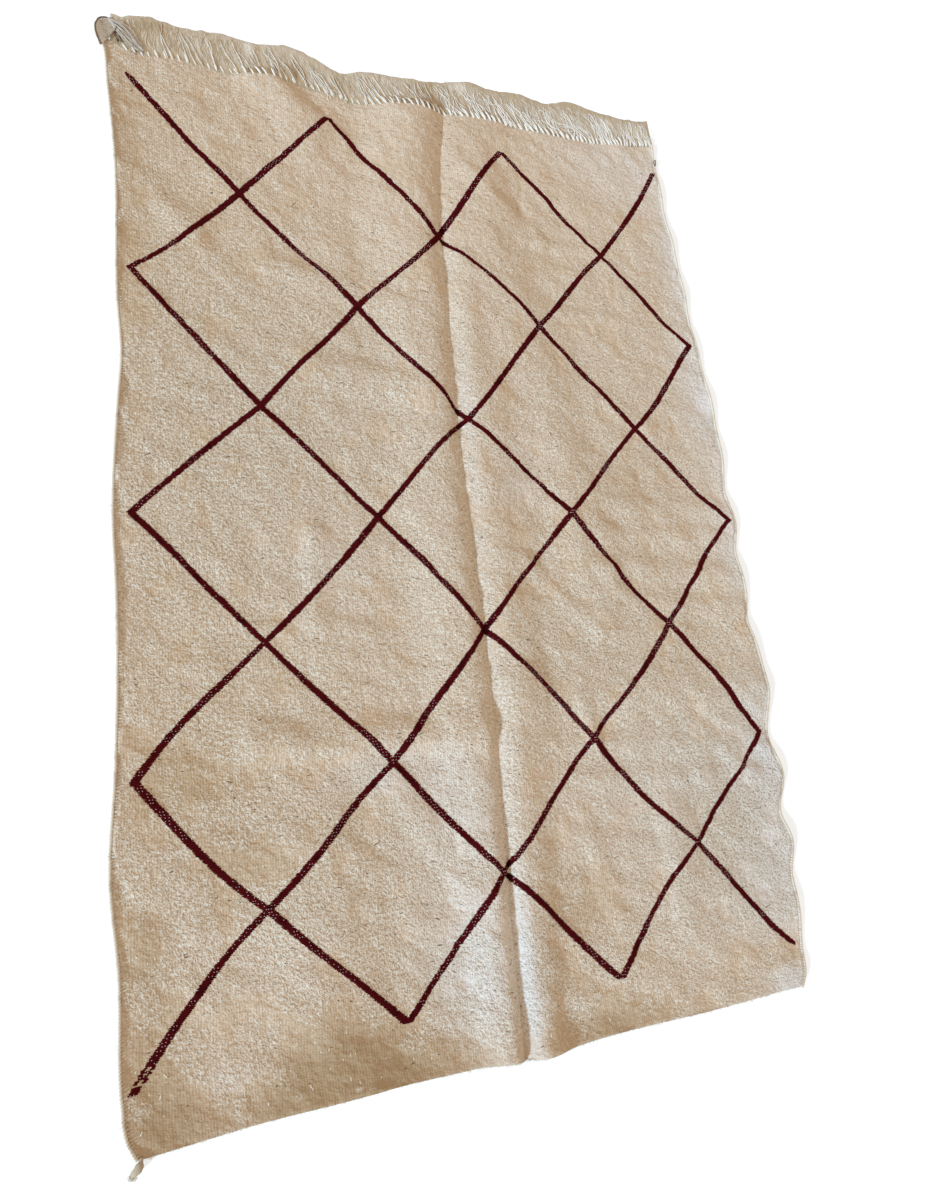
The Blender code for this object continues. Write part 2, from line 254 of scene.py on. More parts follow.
# Small waves that the solid leaves out, in the same columns as its waves.
RIPPLES = table(
    WAVE,
    (-0.46, 1.12, -0.25, 0.96, 0.005, 0.03, 0.08),
    (-0.46, 0.58, -0.14, 0.5, 0.005, 0.045, 0.06),
    (-0.4, -0.06, -0.4, -0.3, 0.006, 0.06, 0.03),
    (0.1, 0.93, 0.3, 0.76, 0.005, 0.035, 0.06),
    (0.33, 0.545, 0.58, 0.535, 0.004, 0.03, 0.04),
    (0.4, 0.3, 0.56, 0.22, 0.005, 0.05, 0.05),
    (0.36, 0.005, 0.74, -0.015, 0.004, 0.035, 0.045),
    (0.5, -0.265, 0.78, -0.29, 0.004, 0.035, 0.045),
    (0.15, -0.605, 0.7, -0.64, 0.004, 0.03, 0.04),
    (0.25, -0.69, 0.72, -0.72, 0.004, 0.03, 0.04),
    (0.2, -0.78, 0.26, -1.0, 0.004, 0.05, 0.035),
    (-0.7, 0.7, -0.56, 0.52, 0.004, 0.05, 0.04),
    (-0.25, -0.64, -0.11, -0.89, 0.007, 0.055, 0.045),
    (0.13, -0.16, 0.32, -0.35, 0.005, 0.032, 0.03),
    (0.34, -0.18, 0.5, -0.35, 0.005, 0.032, 0.03),
    (0.25, 0.745, 0.5, 0.755, 0.004, 0.03, 0.03),
    (0.24, -0.5, 0.27, -0.61, 0.005, 0.04, 0.035),
    (0.62, -0.44, 0.78, -0.56, 0.005, 0.03, 0.032),
    (0.6, -0.55, 0.78, -0.66, 0.006, 0.03, 0.032),
    (0.64, -0.66, 0.79, -0.78, 0.005, 0.03, 0.032),
    (-0.66, -0.88, -0.42, -0.9, 0.005, 0.05, 0.04),
)

# The hand-woven surface isn't even. Each layer of unevenness is soft random
# lumps of one size and height, longer across the rug than along it, and tilted.
UNEVENNESS = table(
    "size stretch height draw",
    (0.066, 1.4, 0.0036, 11), (0.034, 1.4, 0.003, 12), (0.017, 1.3, 0.0016, 13),
)
LUMP_TILT = 0.20
LUMP_LIMIT = 0.0042
NOISE_CELLS = 256


def soft_noise(x, y, size, draw):
    """Smooth random numbers from -1 to 1: drawn at the corners of a square grid
    and blended between them by a curve that is level at each corner."""
    corners = np.random.default_rng(draw).uniform(-1, 1, (NOISE_CELLS, NOISE_CELLS))
    u = np.asarray(x, float) / size
    v = np.asarray(y, float) / size
    i, j = np.floor(u).astype(int), np.floor(v).astype(int)
    a, b = (part**3 * (part * (6 * part - 15) + 10) for part in (u - i, v - j))
    near, far = (
        corners[i % NOISE_CELLS, row] * (1 - a) + corners[(i + 1) % NOISE_CELLS, row] * a
        for row in (j % NOISE_CELLS, (j + 1) % NOISE_CELLS)
    )
    return near * (1 - b) + far * b


def lumpiness(x, y):
    """The sum of the layers of lumps, eased off towards its limit."""
    lumps = sum(
        layer.height * soft_noise(x / layer.stretch, y + LUMP_TILT * x, layer.size, layer.draw)
        for layer in UNEVENNESS
    )
    return LUMP_LIMIT * np.tanh(lumps / LUMP_LIMIT)


def cloth_top(x, y):
    """The height of the cloth's upper face: its lift and thickness, plus the
    ripples and the lumps."""
    return lift(x, y) + CLOTH_THICK + waves_at(RIPPLES, x, y) + lumpiness(x, y)


# --- Making meshes --------------------------------------------------------


def xyz(x, y, z):
    """Points from their three coordinates, which may differ in shape."""
    return np.stack(np.broadcast_arrays(x, y, z), axis=-1)


def add_piece(name, shape, material, slot, stands_for=(), **numbers):
    """A mesh object from a shape: an array of points, none of them below the
    floor, and an array of faces for each number of corners. It rides on the
    rug's body, and keeps the numbers at its points for its material."""
    points, faces = shape
    points = np.maximum(points, (-np.inf, -np.inf, 0.0)).astype(np.float32).reshape(-1, 3)
    mesh = bpy.data.meshes.new(name)
    faces = [np.asarray(group, np.int32) for group in faces if len(group)]
    corners = np.concatenate([group.ravel() for group in faces])
    sizes = np.concatenate([np.full(len(group), group.shape[1]) for group in faces])
    starts = np.concatenate([[0], np.cumsum(sizes)[:-1]])
    mesh.vertices.add(len(points))
    mesh.vertices.foreach_set("co", points.ravel())
    mesh.loops.add(len(corners))
    mesh.loops.foreach_set("vertex_index", corners)
    mesh.polygons.add(len(sizes))
    mesh.polygons.foreach_set("loop_start", starts.astype(np.int32))
    mesh.update(calc_edges=True)
    mesh.shade_smooth()
    for title, values in numbers.items():
        layer = mesh.attributes.new(title, "FLOAT", "POINT")
        layer.data.foreach_set("value", np.asarray(values, np.float32))
    mesh.materials.append(material)
    made = bpy.data.objects.new(name, mesh)
    bpy.context.scene.collection.objects.link(made)
    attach(made, BODY)
    if stands_for:
        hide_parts(*stands_for)


def grid_faces(rows, columns):
    """Four-cornered faces over a grid of points stored row by row."""
    first = (np.arange(rows - 1)[:, None] * columns + np.arange(columns - 1)).ravel()
    return np.column_stack([first, first + 1, first + columns + 1, first + columns])


def tube_faces(count, rings, sides):
    """Faces of many closed tubes at once: bands of four-cornered faces around
    each tube, and one face over each of its ends."""
    ring = np.arange(rings - 1)[:, None] * sides
    side = np.arange(sides)
    low = (ring + side).ravel()
    turn = (ring + (side + 1) % sides).ravel()
    bands = np.column_stack([low, low + sides, turn + sides, turn])
    caps = np.stack([side, side[::-1] + (rings - 1) * sides])
    base = (np.arange(count) * rings * sides)[:, None, None]
    return [(bands + base).reshape(-1, 4), (caps + base).reshape(-1, sides)]


def tubes(paths, radii, sides, squash=1.0):
    """Round cords along many paths at once. Every point of a path gets a ring
    of points at its radius, square to the path, level on one axis and flattened
    by the squash on the other. Returns the points and the faces."""
    paths = np.asarray(paths, float)
    radii = np.asarray(radii, float)
    reach = radii if radii.ndim == 3 else np.broadcast_to(radii, paths.shape[:2])[..., None]
    along = np.gradient(paths, axis=1)
    along /= np.linalg.norm(along, axis=2, keepdims=True) + 1e-12
    level = np.cross(along, [0.0, 0.0, 1.0])
    level /= np.linalg.norm(level, axis=2, keepdims=True) + 1e-12
    rise = np.cross(level, along)
    angle = around(sides)
    outward = (
        np.cos(angle)[:, None] * level[:, :, None, :]
        + squash * np.sin(angle)[:, None] * rise[:, :, None, :]
    )
    points = paths[:, :, None, :] + reach[..., None] * outward
    return points.reshape(-1, 3), tube_faces(paths.shape[0], paths.shape[1], sides)


DOME_RINGS = ((1.0, -0.35), (0.86, 0.62), (0.45, 0.95))


def domes(x, y, half_x, half_y, height, turn=0.0, sides=6, roundness=1.0):
    """Low closed domes standing on the cloth. Each has rings of points, clockwise
    from above on shrinking ellipses, or squarer shapes at a roundness under 1,
    whose heights rise as shares of the dome's height above the cloth below each
    point, a top face and a base face."""
    x, y, half_x, half_y, height, turn = (
        value[:, None, None] for value in np.broadcast_arrays(x, y, half_x, half_y, height, turn)
    )
    angle = -2 * math.pi * (np.arange(sides) + 0.5) / sides
    size, level = np.array(DOME_RINGS).T[..., None]
    outline = [np.sign(wave) * np.abs(wave) ** roundness for wave in (np.cos(angle), np.sin(angle))]
    u = half_x * size * outline[0]
    v = half_y * size * outline[1]
    px = x + u * np.cos(turn) - v * np.sin(turn)
    py = y + u * np.sin(turn) + v * np.cos(turn)
    points = xyz(px, py, cloth_top(px, py) + height * level)
    return points.reshape(-1, 3), tube_faces(len(x), len(DOME_RINGS), sides)


def joined(*shapes):
    """Several shapes' points and faces as one shape."""
    bases = np.cumsum([0] + [len(points) for points, _ in shapes])
    faces = [group + base for base, (_, groups) in zip(bases, shapes) for group in groups]
    return np.concatenate([points for points, _ in shapes]), faces


# --- The lattice ----------------------------------------------------------
# Floats of dark wool, woven in over the ground weave, one a pick. The lines run
# corner to corner through a grid of crossing places.

HALF_ACROSS = 0.258
HALF_ALONG = 0.2717
LATTICE_COLUMNS = 6
LATTICE_ROWS = 8
MIDDLE_COLUMN = 3
TOP_ROW_AT = 1.032
WARP = HALF_ACROSS / 48
PICK = HALF_ALONG / 90

# The weaver's hand: how far some crossings stray from the even grid, in mm.
STRAYS = table(
    "column row across along",
    (0, 2, 5, 25), (0, 8, -10, 5), (1, 1, -5, -10), (1, 3, 20, -15), (1, 5, 5, -10),
    (1, 7, -15, 5), (2, 0, -30, -15), (2, 2, 10, -5), (2, 4, 20, 0), (2, 6, 10, -10),
    (2, 8, -5, 20), (3, 1, -15, -50), (3, 3, 15, -15), (3, 7, -20, 5), (4, 0, -50, -10),
    (4, 4, 20, 20), (4, 8, -10, 10), (5, 1, -20, -20), (5, 3, 5, -5), (5, 5, 15, 0),
    (6, 0, -41, 29), (6, 2, -20, -5), (6, 4, 10, 10), (6, 6, -10, -25), (6, 8, -10, -5),
)

# Lines that bow between two crossings, in mm to the left of the way from the
# first one, which is the left one. The second is a column on, and a row on or back.
BOWS = table(
    "column row next_row bow",
    (0, 2, 1, -8), (0, 6, 5, 10), (1, 5, 4, -7), (2, 4, 3, 9), (4, 6, 5, -8), (4, 8, 7, 13),
    (5, 1, 0, -10), (5, 3, 2, -10), (0, 6, 7, -11), (4, 4, 5, -12), (4, 6, 7, -14), (5, 7, 8, -9),
    (3, 5, 6, 6), (3, 3, 4, 6), (5, 5, 6, 7), (0, 8, 7, 12), (3, 1, 2, 12),
)
MM = 0.001

LINE_HALF_WIDTH = 0.0107
LINE_THICKENING = 0.0004
LINE_WIDTH_SWAY = 0.0016
LINE_SWAY_LENGTH = 0.09
LINE_WANDER = 0.0035
LINE_JITTER = 0.0006


def crossing(column, row):
    """Where the lattice's crossing in this column and row lies."""
    across = (column - MIDDLE_COLUMN) * HALF_ACROSS
    along = TOP_ROW_AT - row * HALF_ALONG
    for stray in STRAYS:
        if (stray.column, stray.row) == (column, row):
            across += stray.across * MM
            along += stray.along * MM
    return np.array([across, along])


def lattice_line(column, row, next_row, rng):
    """One line between crossings: the straight way, plus a parabola for its bow
    and a full sine for its wander, square to the way. Gives each pick that it
    crosses a float: its middle across and along the rug, and half its length."""
    start = crossing(column, row)
    end = crossing(column + 1, next_row)
    way = end - start
    left = np.array([-way[1], way[0]]) / np.hypot(*way)
    bow = rng.uniform(-4, 4)
    for known in BOWS:
        if (known.column, known.row, known.next_row) == (column, row, next_row):
            bow = known.bow
    u = shares(200)
    swerve = bow * MM * 4 * u * (1 - u) + rng.uniform(-1, 1) * LINE_WANDER * np.sin(2 * math.pi * u)
    line = start + u[:, None] * way + swerve[:, None] * left
    line = line[np.argsort(line[:, 1])]
    y = PICK * np.arange(math.ceil(line[0, 1] / PICK), math.floor(line[-1, 1] / PICK) + 1)
    x = np.interp(y, line[:, 1], line[:, 0]) + LINE_JITTER * rng.normal(size=len(y))
    half = LINE_HALF_WIDTH - LINE_THICKENING * y + LINE_WIDTH_SWAY * soft_noise(x, y, LINE_SWAY_LENGTH, 21)
    return np.column_stack([x, y, half + LINE_JITTER * rng.normal(size=len(y))])


def lattice_floats(leaning, rng):
    """The floats of every line of one lean."""
    found = []
    for column in range(LATTICE_COLUMNS):
        for row in range(LATTICE_ROWS):
            falling = (column + row) % 2 == 0
            if falling == (leaning == "falling"):
                ends = (row, row + 1) if falling else (row + 1, row)
                found.append(lattice_line(column, *ends, rng))
    return frayed_end(pointed_ends(np.concatenate(found)))


POINT_LENGTH = 0.014
POINT_LEAST = 0.3
END_REACH = 0.08


def from_end(floats, column, row, next_column, next_row):
    """How far along its line each float is from the line's end."""
    end = crossing(column, row)
    way = crossing(next_column, next_row) - end
    way /= np.hypot(*way)
    along = (floats[:, 0] - end[0]) * way[0] + (floats[:, 1] - end[1]) * way[1]
    near = np.hypot(floats[:, 0] - end[0], floats[:, 1] - end[1]) < END_REACH
    return np.where(near, along, END_REACH)


def pointed_ends(floats):
    """Two of the lines narrow to a point where they end."""
    for place in ((0, 0, 1, 1), (LATTICE_COLUMNS, LATTICE_ROWS, LATTICE_COLUMNS - 1, LATTICE_ROWS - 1)):
        floats[:, 2] *= np.clip(from_end(floats, *place) / POINT_LENGTH, POINT_LEAST, 1)
    return floats


# Where the lower left line frays out: how far from its end, in metres, its last
# dash stops, and where the chain of open rings beyond the gap starts and stops.
FRAY_DASH = 0.013
FRAY_GAP = 0.018
FRAY_CHAIN = 0.052
RING_LENGTH = 0.0113
RING_OPEN = 0.24
RING_SIDE_OFF = 0.66
RING_SIDE_WIDE = 0.40
FRAY_THIN = 0.85


def frayed_end(floats):
    """The lower left line ends in a chain of three open rings, a gap and a last
    dash. A ring's middle picks keep only a short float at each side."""
    along = from_end(floats, 0, LATTICE_ROWS, 1, LATTICE_ROWS - 1)
    inside = ((along - FRAY_GAP) / RING_LENGTH) % 1
    chain = (along > FRAY_GAP) & (along < FRAY_CHAIN)
    opened = chain & (np.abs(inside - 0.5) < RING_OPEN)
    sides = []
    for side in (-1, 1):
        short = floats[opened].copy()
        short[:, 0] += side * RING_SIDE_OFF * short[:, 2]
        short[:, 2] *= RING_SIDE_WIDE
        sides.append(short)
    floats[:, 2] *= np.where(along < FRAY_CHAIN, FRAY_THIN, 1)
    gap = (along > FRAY_DASH) & (along < FRAY_GAP)
    return np.concatenate([floats[~(opened | gap)], *sides])


# A loop of the dark yarn lies on the right rim, past the line's end.
LOOP_MIDDLE = (0.7475, 1.0990)
LOOP_HALF_WIDE = 0.0048
LOOP_HALF_LONG = 0.0100
LOOP_FROM = -0.15
LOOP_TO = 2 * math.pi - 0.9
THREAD_RADIUS = 0.0013


def thread_loop():
    """An open loop of thread, drawn in to a tail at its lower end."""
    turn = np.linspace(LOOP_FROM, LOOP_TO, 24)
    wide = LOOP_HALF_WIDE * (0.6 + 0.4 * np.cos(turn))
    x = LOOP_MIDDLE[0] + wide * np.sin(turn)
    y = LOOP_MIDDLE[1] + LOOP_HALF_LONG * np.cos(turn)
    return xyz(x, y, cloth_top(x, y) + 2.2 * THREAD_RADIUS)


# --- Shading --------------------------------------------------------------


def settle(thing, **settings):
    """Gives a thing its settings."""
    for name, value in settings.items():
        setattr(thing, name, value)


def joins(operation, reflected=False):
    """A method that takes two signals, or a signal and a number, into a Math node."""
    def method(self, other):
        return self.math(operation, *((other, self) if reflected else (self, other)))
    return method


class Signal:
    """A node's output socket, usable in sums. Each operator adds a Math node."""

    def __init__(self, shading, socket):
        self.shading = shading
        self.socket = socket

    def math(self, operation, first, second=0.0):
        return self.shading.add("ShaderNodeMath", {"operation": operation}, {0: first, 1: second})

    __add__ = __radd__ = joins("ADD")
    __mul__ = __rmul__ = joins("MULTIPLY")
    __sub__ = joins("SUBTRACT")
    __rsub__ = joins("SUBTRACT", reflected=True)
    __truediv__ = joins("DIVIDE")
    __rtruediv__ = joins("DIVIDE", reflected=True)

    def sine(self):
        return self.math("SINE", self)

    def size(self):
        return self.math("ABSOLUTE", self)

    def floor(self):
        return self.math("FLOOR", self)

    def over(self, low, high):
        """A soft step from 0 at low to 1 at high."""
        return self.shading.add(
            "ShaderNodeMapRange",
            {"interpolation_type": "SMOOTHSTEP"},
            {"Value": self, "From Min": low, "From Max": high},
        )


WOOL_ROUGHNESS = 0.92


def rgba(colour):
    """A colour with its opaque alpha, or a signal as it is."""
    return colour if isinstance(colour, Signal) else (*colour, 1.0)


class Shading:
    """A material whose nodes are added one by one."""

    def __init__(self, name, specular=0.2):
        self.material = bpy.data.materials.new(name)
        self.material.use_nodes = True
        self.tree = self.material.node_tree
        self.surface = self.tree.nodes["Principled BSDF"]
        self.surface.inputs["Roughness"].default_value = WOOL_ROUGHNESS
        self.surface.inputs["Specular IOR Level"].default_value = specular

    def add(self, kind, settings=None, values=None, output=0):
        """Any node: its settings first, then its sockets' values or links."""
        node = self.tree.nodes.new(kind)
        settle(node, **(settings or {}))
        for name, value in (values or {}).items():
            self.feed(node.inputs[name], value)
        return Signal(self, node.outputs[output])

    def feed(self, socket, value):
        """A socket takes a link from a signal, or else a plain value."""
        if isinstance(value, Signal):
            self.tree.links.new(value.socket, socket)
        else:
            socket.default_value = value

    def place(self):
        """The place on the rug."""
        return self.add("ShaderNodeTexCoord", output="Object")

    def parts(self, vector):
        """How far across and how far along the rug a place is."""
        across = self.add("ShaderNodeSeparateXYZ", None, {0: vector}, "X")
        return across, Signal(self, across.socket.node.outputs["Y"])

    def attribute(self, name):
        """A number stored at the piece's points."""
        return self.add("ShaderNodeAttribute", {"attribute_name": name}, None, output="Fac")

    def vector(self, x, y, z=0.0):
        return self.add("ShaderNodeCombineXYZ", None, {"X": x, "Y": y, "Z": z})

    def noise(self, where, scale, detail=2.0, roughness=0.5):
        """Soft random cloudiness around a half, with this many lumps to the metre."""
        values = {"Vector": where, "Scale": scale, "Detail": detail, "Roughness": roughness}
        return self.add("ShaderNodeTexNoise", None, values, output="Fac")

    def mixed(self, first, second, share):
        """A colour between two colours."""
        values = {"Factor": share, 6: rgba(first), 7: rgba(second)}
        return self.add("ShaderNodeMix", {"data_type": "RGBA"}, values, output=2)

    def bump(self, height, distance):
        """Makes the surface's height show in its shading."""
        values = {"Height": height, "Distance": distance, "Strength": 1.0}
        self.feed(self.surface.inputs["Normal"], self.add("ShaderNodeBump", None, values))

    def colour(self, value):
        self.feed(self.surface.inputs["Base Color"], rgba(value))


RIB_PITCH = WARP
BEAD_PITCH = 0.0027
# How fine the weave's clouds of noise are, in lumps to the metre.
FIBRES = 430.0
TUFTS = 200.0
STREAKS = 110.0
LUMPS = 80.0
WOBBLES = 14.0
CLOUDS = 11.0
HAIR_STREAKS = 330.0
HAIR_CLUMPS = 42.0


def weave_material(colours):
    """Undyed hand-spun wool in a ribbed weave: ribs along the rug, each a row of
    beads, that come and go; fibres and lumps of fleece that catch the light,
    painted as paler and darker specks, livelier where the lamp falls; places that
    are flatter and darker from wear and from painted shade; places warmer from the
    wool's own colour and from painted shade; and places paler and cooler from painted light."""
    cloth = Shading("cream_weave")
    where = cloth.place()
    x, y = cloth.parts(where)
    tone = cloth.attribute("tone")
    wobble = cloth.noise(where, WOBBLES, 3.0)
    rib_phase = (x + wobble * 0.012) / RIB_PITCH
    rib = (rib_phase * math.pi).sine().size()
    bead = ((y / BEAD_PITCH + rib_phase.floor() * 0.5 + wobble * 3.0) * math.pi).sine().size()
    worn = cloth.attribute("worn")
    fibre = cloth.noise(cloth.vector(x * 0.8 + y * 0.35, y * 0.62), FIBRES, roughness=0.6)
    fleece = cloth.noise(cloth.vector(x * 0.7 + y * 0.30, y * 0.75), TUFTS, roughness=0.6)
    lump = cloth.noise(cloth.vector(x * 0.75, y), LUMPS)
    streak = cloth.noise(cloth.vector(x, y * 0.08), STREAKS)
    cloud = cloth.noise(where, CLOUDS, 3.0, 0.55)
    flat = (cloud + worn * 0.25).over(0.52, 0.66)
    # Livelier specks: partly fleece, partly painted glints where the lamp falls.
    lively = (1.0 - flat * 0.55 - worn * 0.35) * (1.0 + cloth.attribute("fleecy"))
    # Warmer tan from the patches: partly the wool's own colour, partly painted shade.
    warm = tone + flat * 0.35 + (streak - 0.5) * 1.0 + (lump - 0.5) * 1.4
    base = cloth.mixed(colours.cream, colours.tan, warm)
    # Painted light: the paler, cooler colour where the patch numbers fall below 0.
    base = cloth.mixed(base, colours.painted_light, tone * -1.0)
    # Darker colour: partly wear, partly painted shade where the cloth turns from the lamp.
    base = cloth.mixed(base, colours.worn, worn * 0.70)
    pale = fibre.over(0.47, 0.65) * lively * 0.90 + fleece.over(0.49, 0.66) * lively * 0.86
    base = cloth.mixed(base, colours.pale, pale)
    dark = ((1.0 - fibre).over(0.50, 0.68) * 0.50 + (1.0 - fleece).over(0.52, 0.70) * 0.46) * lively
    base = cloth.mixed(base, colours.shade, dark)
    cloth.colour(base)
    height = rib * 0.14 + bead * rib * 0.20 + (fibre * 1.8 + fleece * 3.6) * lively + lump * 5.0
    cloth.bump(height, MM)
    return cloth.material


def yarn_material(name, base, lit, dark, grain_scale=700.0, specular=0.15):
    """Plain spun wool: its base colour, with paler and darker fibres."""
    yarn = Shading(name, specular)
    where = yarn.place()
    fibre = yarn.noise(where, grain_scale, roughness=0.6)
    shade = yarn.noise(where, grain_scale / 14)
    blend = yarn.mixed(base, lit, fibre.over(0.45, 0.75) * 0.6)
    blend = yarn.mixed(blend, dark, shade.over(0.5, 0.75) * 0.6)
    yarn.colour(blend)
    yarn.bump(fibre, 0.6 * MM)
    return yarn.material


# --- The pieces' shapes ---------------------------------------------------

SHEET_COLUMNS = 241
SHEET_ROWS = 353
UNDERSIDE_STEP = 4
RIM_ROUND = 0.0011

# Where the wool is warmer (towards 1) than its even cream, partly from its own colour
# and partly as painted shade, or paler and cooler (towards -1), which is painted light
# where the lamp falls; and where it is flatter and darker, partly from wear and partly
# as painted shade.
PATCH = "across along wide long warmth worn"
PATCHES = table(
    PATCH,
    (-0.35, 0.42, 0.55, 0.72, 0.32), (-0.7, 0.65, 0.25, 0.55, 0.35),
    (-0.78, 0.8, 0.09, 0.5, 0.2, 0.25), (-0.62, -0.3, 0.22, 0.6, 0.55),
    (-0.45, -0.6, 0.22, 0.12, 0.25), (-0.36, -1.22, 0.3, 0.07, 0.25, 0.9),
    (-0.75, -1.12, 0.07, 0.16, 0.25, 0.6), (-0.76, -0.9, 0.04, 0.1, 0.4, 0.5),
    (-0.58, -0.97, 0.14, 0.08, -0.15), (-0.3, -0.63, 0.2, 0.055, -0.65),
    (-0.15, -0.78, 0.12, 0.1, -0.2), (-0.07, -1.0, 0.08, 0.25, -0.25),
    (-0.35, -1.1, 0.2, 0.09, 0.2, 0.15), (0.35, 0.05, 0.25, 0.55, 0.25),
    (0.4, -0.38, 0.35, 0.14, 0.25), (-0.08, 0.72, 0.1, 0.12, -0.2),
    (-0.02, 0.25, 0.18, 0.16, -0.2), (0.13, -0.02, 0.06, 0.14, -0.2),
    (0.8, 0.78, 0.08, 0.16, -0.9), (0.79, 0.33, 0.09, 0.22, -0.8),
    (0.8, -0.12, 0.08, 0.14, -0.65), (0.8, -0.7, 0.11, 0.2, -1.0),
    (0.48, -0.72, 0.26, 0.18, -0.35), (0.55, -1.0, 0.28, 0.1, -0.12),
    (0.2, -1.22, 0.16, 0.05, 0.1, 0.75), (0.62, 1.05, 0.2, 0.12, -0.4),
    (0.73, -1.22, 0.06, 0.04, -0.9), (0.012, -1.08, 0.02, 0.17, -0.9),
    (0.018, 0.15, 0.016, 0.7, -0.3), (-0.42, -1.16, 0.16, 0.09, 0.1, 0.7),
    (0.24, -1.18, 0.1, 0.05, 0.0, 0.1), (-0.69, -0.6, 0.1, 0.1, 0.25, 0.5),
    (-0.56, -0.76, 0.11, 0.09, 0.15, 0.5), (0.48, 0.05, 0.12, 0.12, 0.0, 0.35),
    (-0.42, -0.16, 0.16, 0.16, -0.55), (0.15, 0.08, 0.08, 0.12, -0.35),
    (-0.1, -0.72, 0.1, 0.08, -0.25), (-0.72, -1.2, 0.08, 0.06, 0.05, 0.55),
    (-0.61, -1.15, 0.09, 0.04, -0.35, -0.35), (-0.13, -1.06, 0.11, 0.15, -0.55),
    (0.17, -0.97, 0.1, 0.1, 0.1, 0.55), (0.74, -0.99, 0.12, 0.12, -0.7, 0.2),
    (0.7, -1.16, 0.1, 0.025, 0.35, 0.25),
)
# Where the wool is fleecier (over 0) or calmer (under 0) than the rest, in the
# first column of amounts. Its specks are livelier where the lamp falls, so these are
# partly painted glints.
FLEECE_AND_GLINT = table(
    PATCH,
    (0.0, 1.0, 0.9, 0.4, -0.45), (-0.5, 0.1, 0.35, 0.35, 0.4), (0.65, -0.8, 0.28, 0.3, 0.75),
    (-0.4, -0.85, 0.35, 0.22, 0.3), (0.02, -1.08, 0.22, 0.16, 0.4), (0.3, -0.4, 0.3, 0.2, 0.25),
)


def skipping_faces(index, step):
    """Faces over a grid of points that use every step-th line of them inside,
    and every point along the outer edge."""
    coarse = index[::step, ::step]
    inner = coarse[1:-1, 1:-1]
    quads = np.stack([inner[:-1, :-1], inner[:-1, 1:], inner[1:, 1:], inner[1:, :-1]], axis=-1)
    groups = [quads.reshape(-1, 4)]
    for turn in range(4):
        side = np.rot90(index, turn)
        first = np.arange(step, side.shape[1] - 1 - step, step)
        edge = side[0, first[:, None] + np.arange(step + 1)]
        groups.append(np.column_stack([edge, side[step, first + step], side[step, first]]))
        corner = [side[0, : step + 1], [side[step, step], side[step, 0]], side[step - 1 : 0 : -1, 0]]
        groups.append(np.concatenate(corner)[None, :])
    return groups


def rim_loop(index):
    """The grid's outer points in order, anticlockwise from above."""
    return np.concatenate([np.rot90(index, turn)[0, :-1] for turn in range(4)])


def band(first, second):
    """Four-cornered faces between two closed rings of points."""
    return np.column_stack([first, np.roll(first, -1), np.roll(second, -1), second])


def sheet_shape():
    """The cloth as one closed sheet: its upper face on a fine grid, its
    underside on a coarse one, and a rim pushed out a little at half height."""
    s, t = np.meshgrid(shares(SHEET_COLUMNS), shares(SHEET_ROWS))
    x, y = lie(s, t)
    upper = np.arange(x.size).reshape(x.shape)
    lower = upper + x.size
    loop = rim_loop(upper)
    rim = np.column_stack([x.ravel()[loop], y.ravel()[loop]])
    ahead = np.roll(rim, -1, axis=0) - np.roll(rim, 1, axis=0)
    ahead /= np.linalg.norm(ahead, axis=1, keepdims=True)
    outer = (rim + RIM_ROUND * np.column_stack([ahead[:, 1], -ahead[:, 0]])).T
    middle = np.arange(len(loop)) + 2 * x.size
    points = np.concatenate([
        xyz(x, y, cloth_top(x, y)).reshape(-1, 3), xyz(x, y, lift(x, y)).reshape(-1, 3),
        xyz(*outer, lift(*rim.T) + CLOTH_THICK / 2),
    ])
    faces = [grid_faces(SHEET_ROWS, SHEET_COLUMNS), band(middle, loop), band(rim_loop(lower), middle)]
    faces += [group[:, ::-1] for group in skipping_faces(lower, UNDERSIDE_STEP)]
    used = np.unique(np.concatenate([group.ravel() for group in faces]))
    renumber = np.zeros(len(points), int)
    renumber[used] = np.arange(len(used))
    return points[used], [renumber[group] for group in faces]


def patched(x, y, column, patches=PATCHES):
    """One column of the patches at each place: a patch fades as a bell."""
    total = np.zeros_like(x)
    for patch in patches:
        off = ((x - patch.across) / patch.wide) ** 2 + ((y - patch.along) / patch.long) ** 2
        total += getattr(patch, column) * np.exp(-off)
    return total


FLOAT_HEIGHT = 0.0013
FLOAT_HALF_THICK = 0.60 * PICK
FLOAT_TURN = 0.03
FLOAT_ROUNDNESS = 0.55


def float_shape(floats, rng):
    """One long low dome a float, thick enough to touch the next picks' floats."""
    x, y, half = floats.T
    thick = FLOAT_HALF_THICK * rng.uniform(0.95, 1.1, len(x))
    high = FLOAT_HEIGHT * rng.uniform(0.8, 1.2, len(x))
    turn = rng.normal(0, FLOAT_TURN, len(x))
    return domes(x, y, half, thick, high, turn, sides=8, roundness=FLOAT_ROUNDNESS)


DOT_EVERY = 2
DOT_STEP = 0.0030
DOT_SHARE = 0.72
DOT_HALF_WIDE = 0.0013
DOT_HALF_LONG = 0.0010
DOT_HEIGHT = 0.0022
DOT_STRAY = 0.0005
DOTTED_OVER = 0.16
DOTTED_LEAN = 0.22


def is_dotted(x, y):
    """Where cream shows through the floats: soft random stretches, more of them
    towards the lower left."""
    lean = DOTTED_LEAN * np.clip(-(x + y), -1, 1)
    return soft_noise(x, y, 0.050, 22) + 0.4 * soft_noise(x, y, 0.02, 23) + lean > DOTTED_OVER


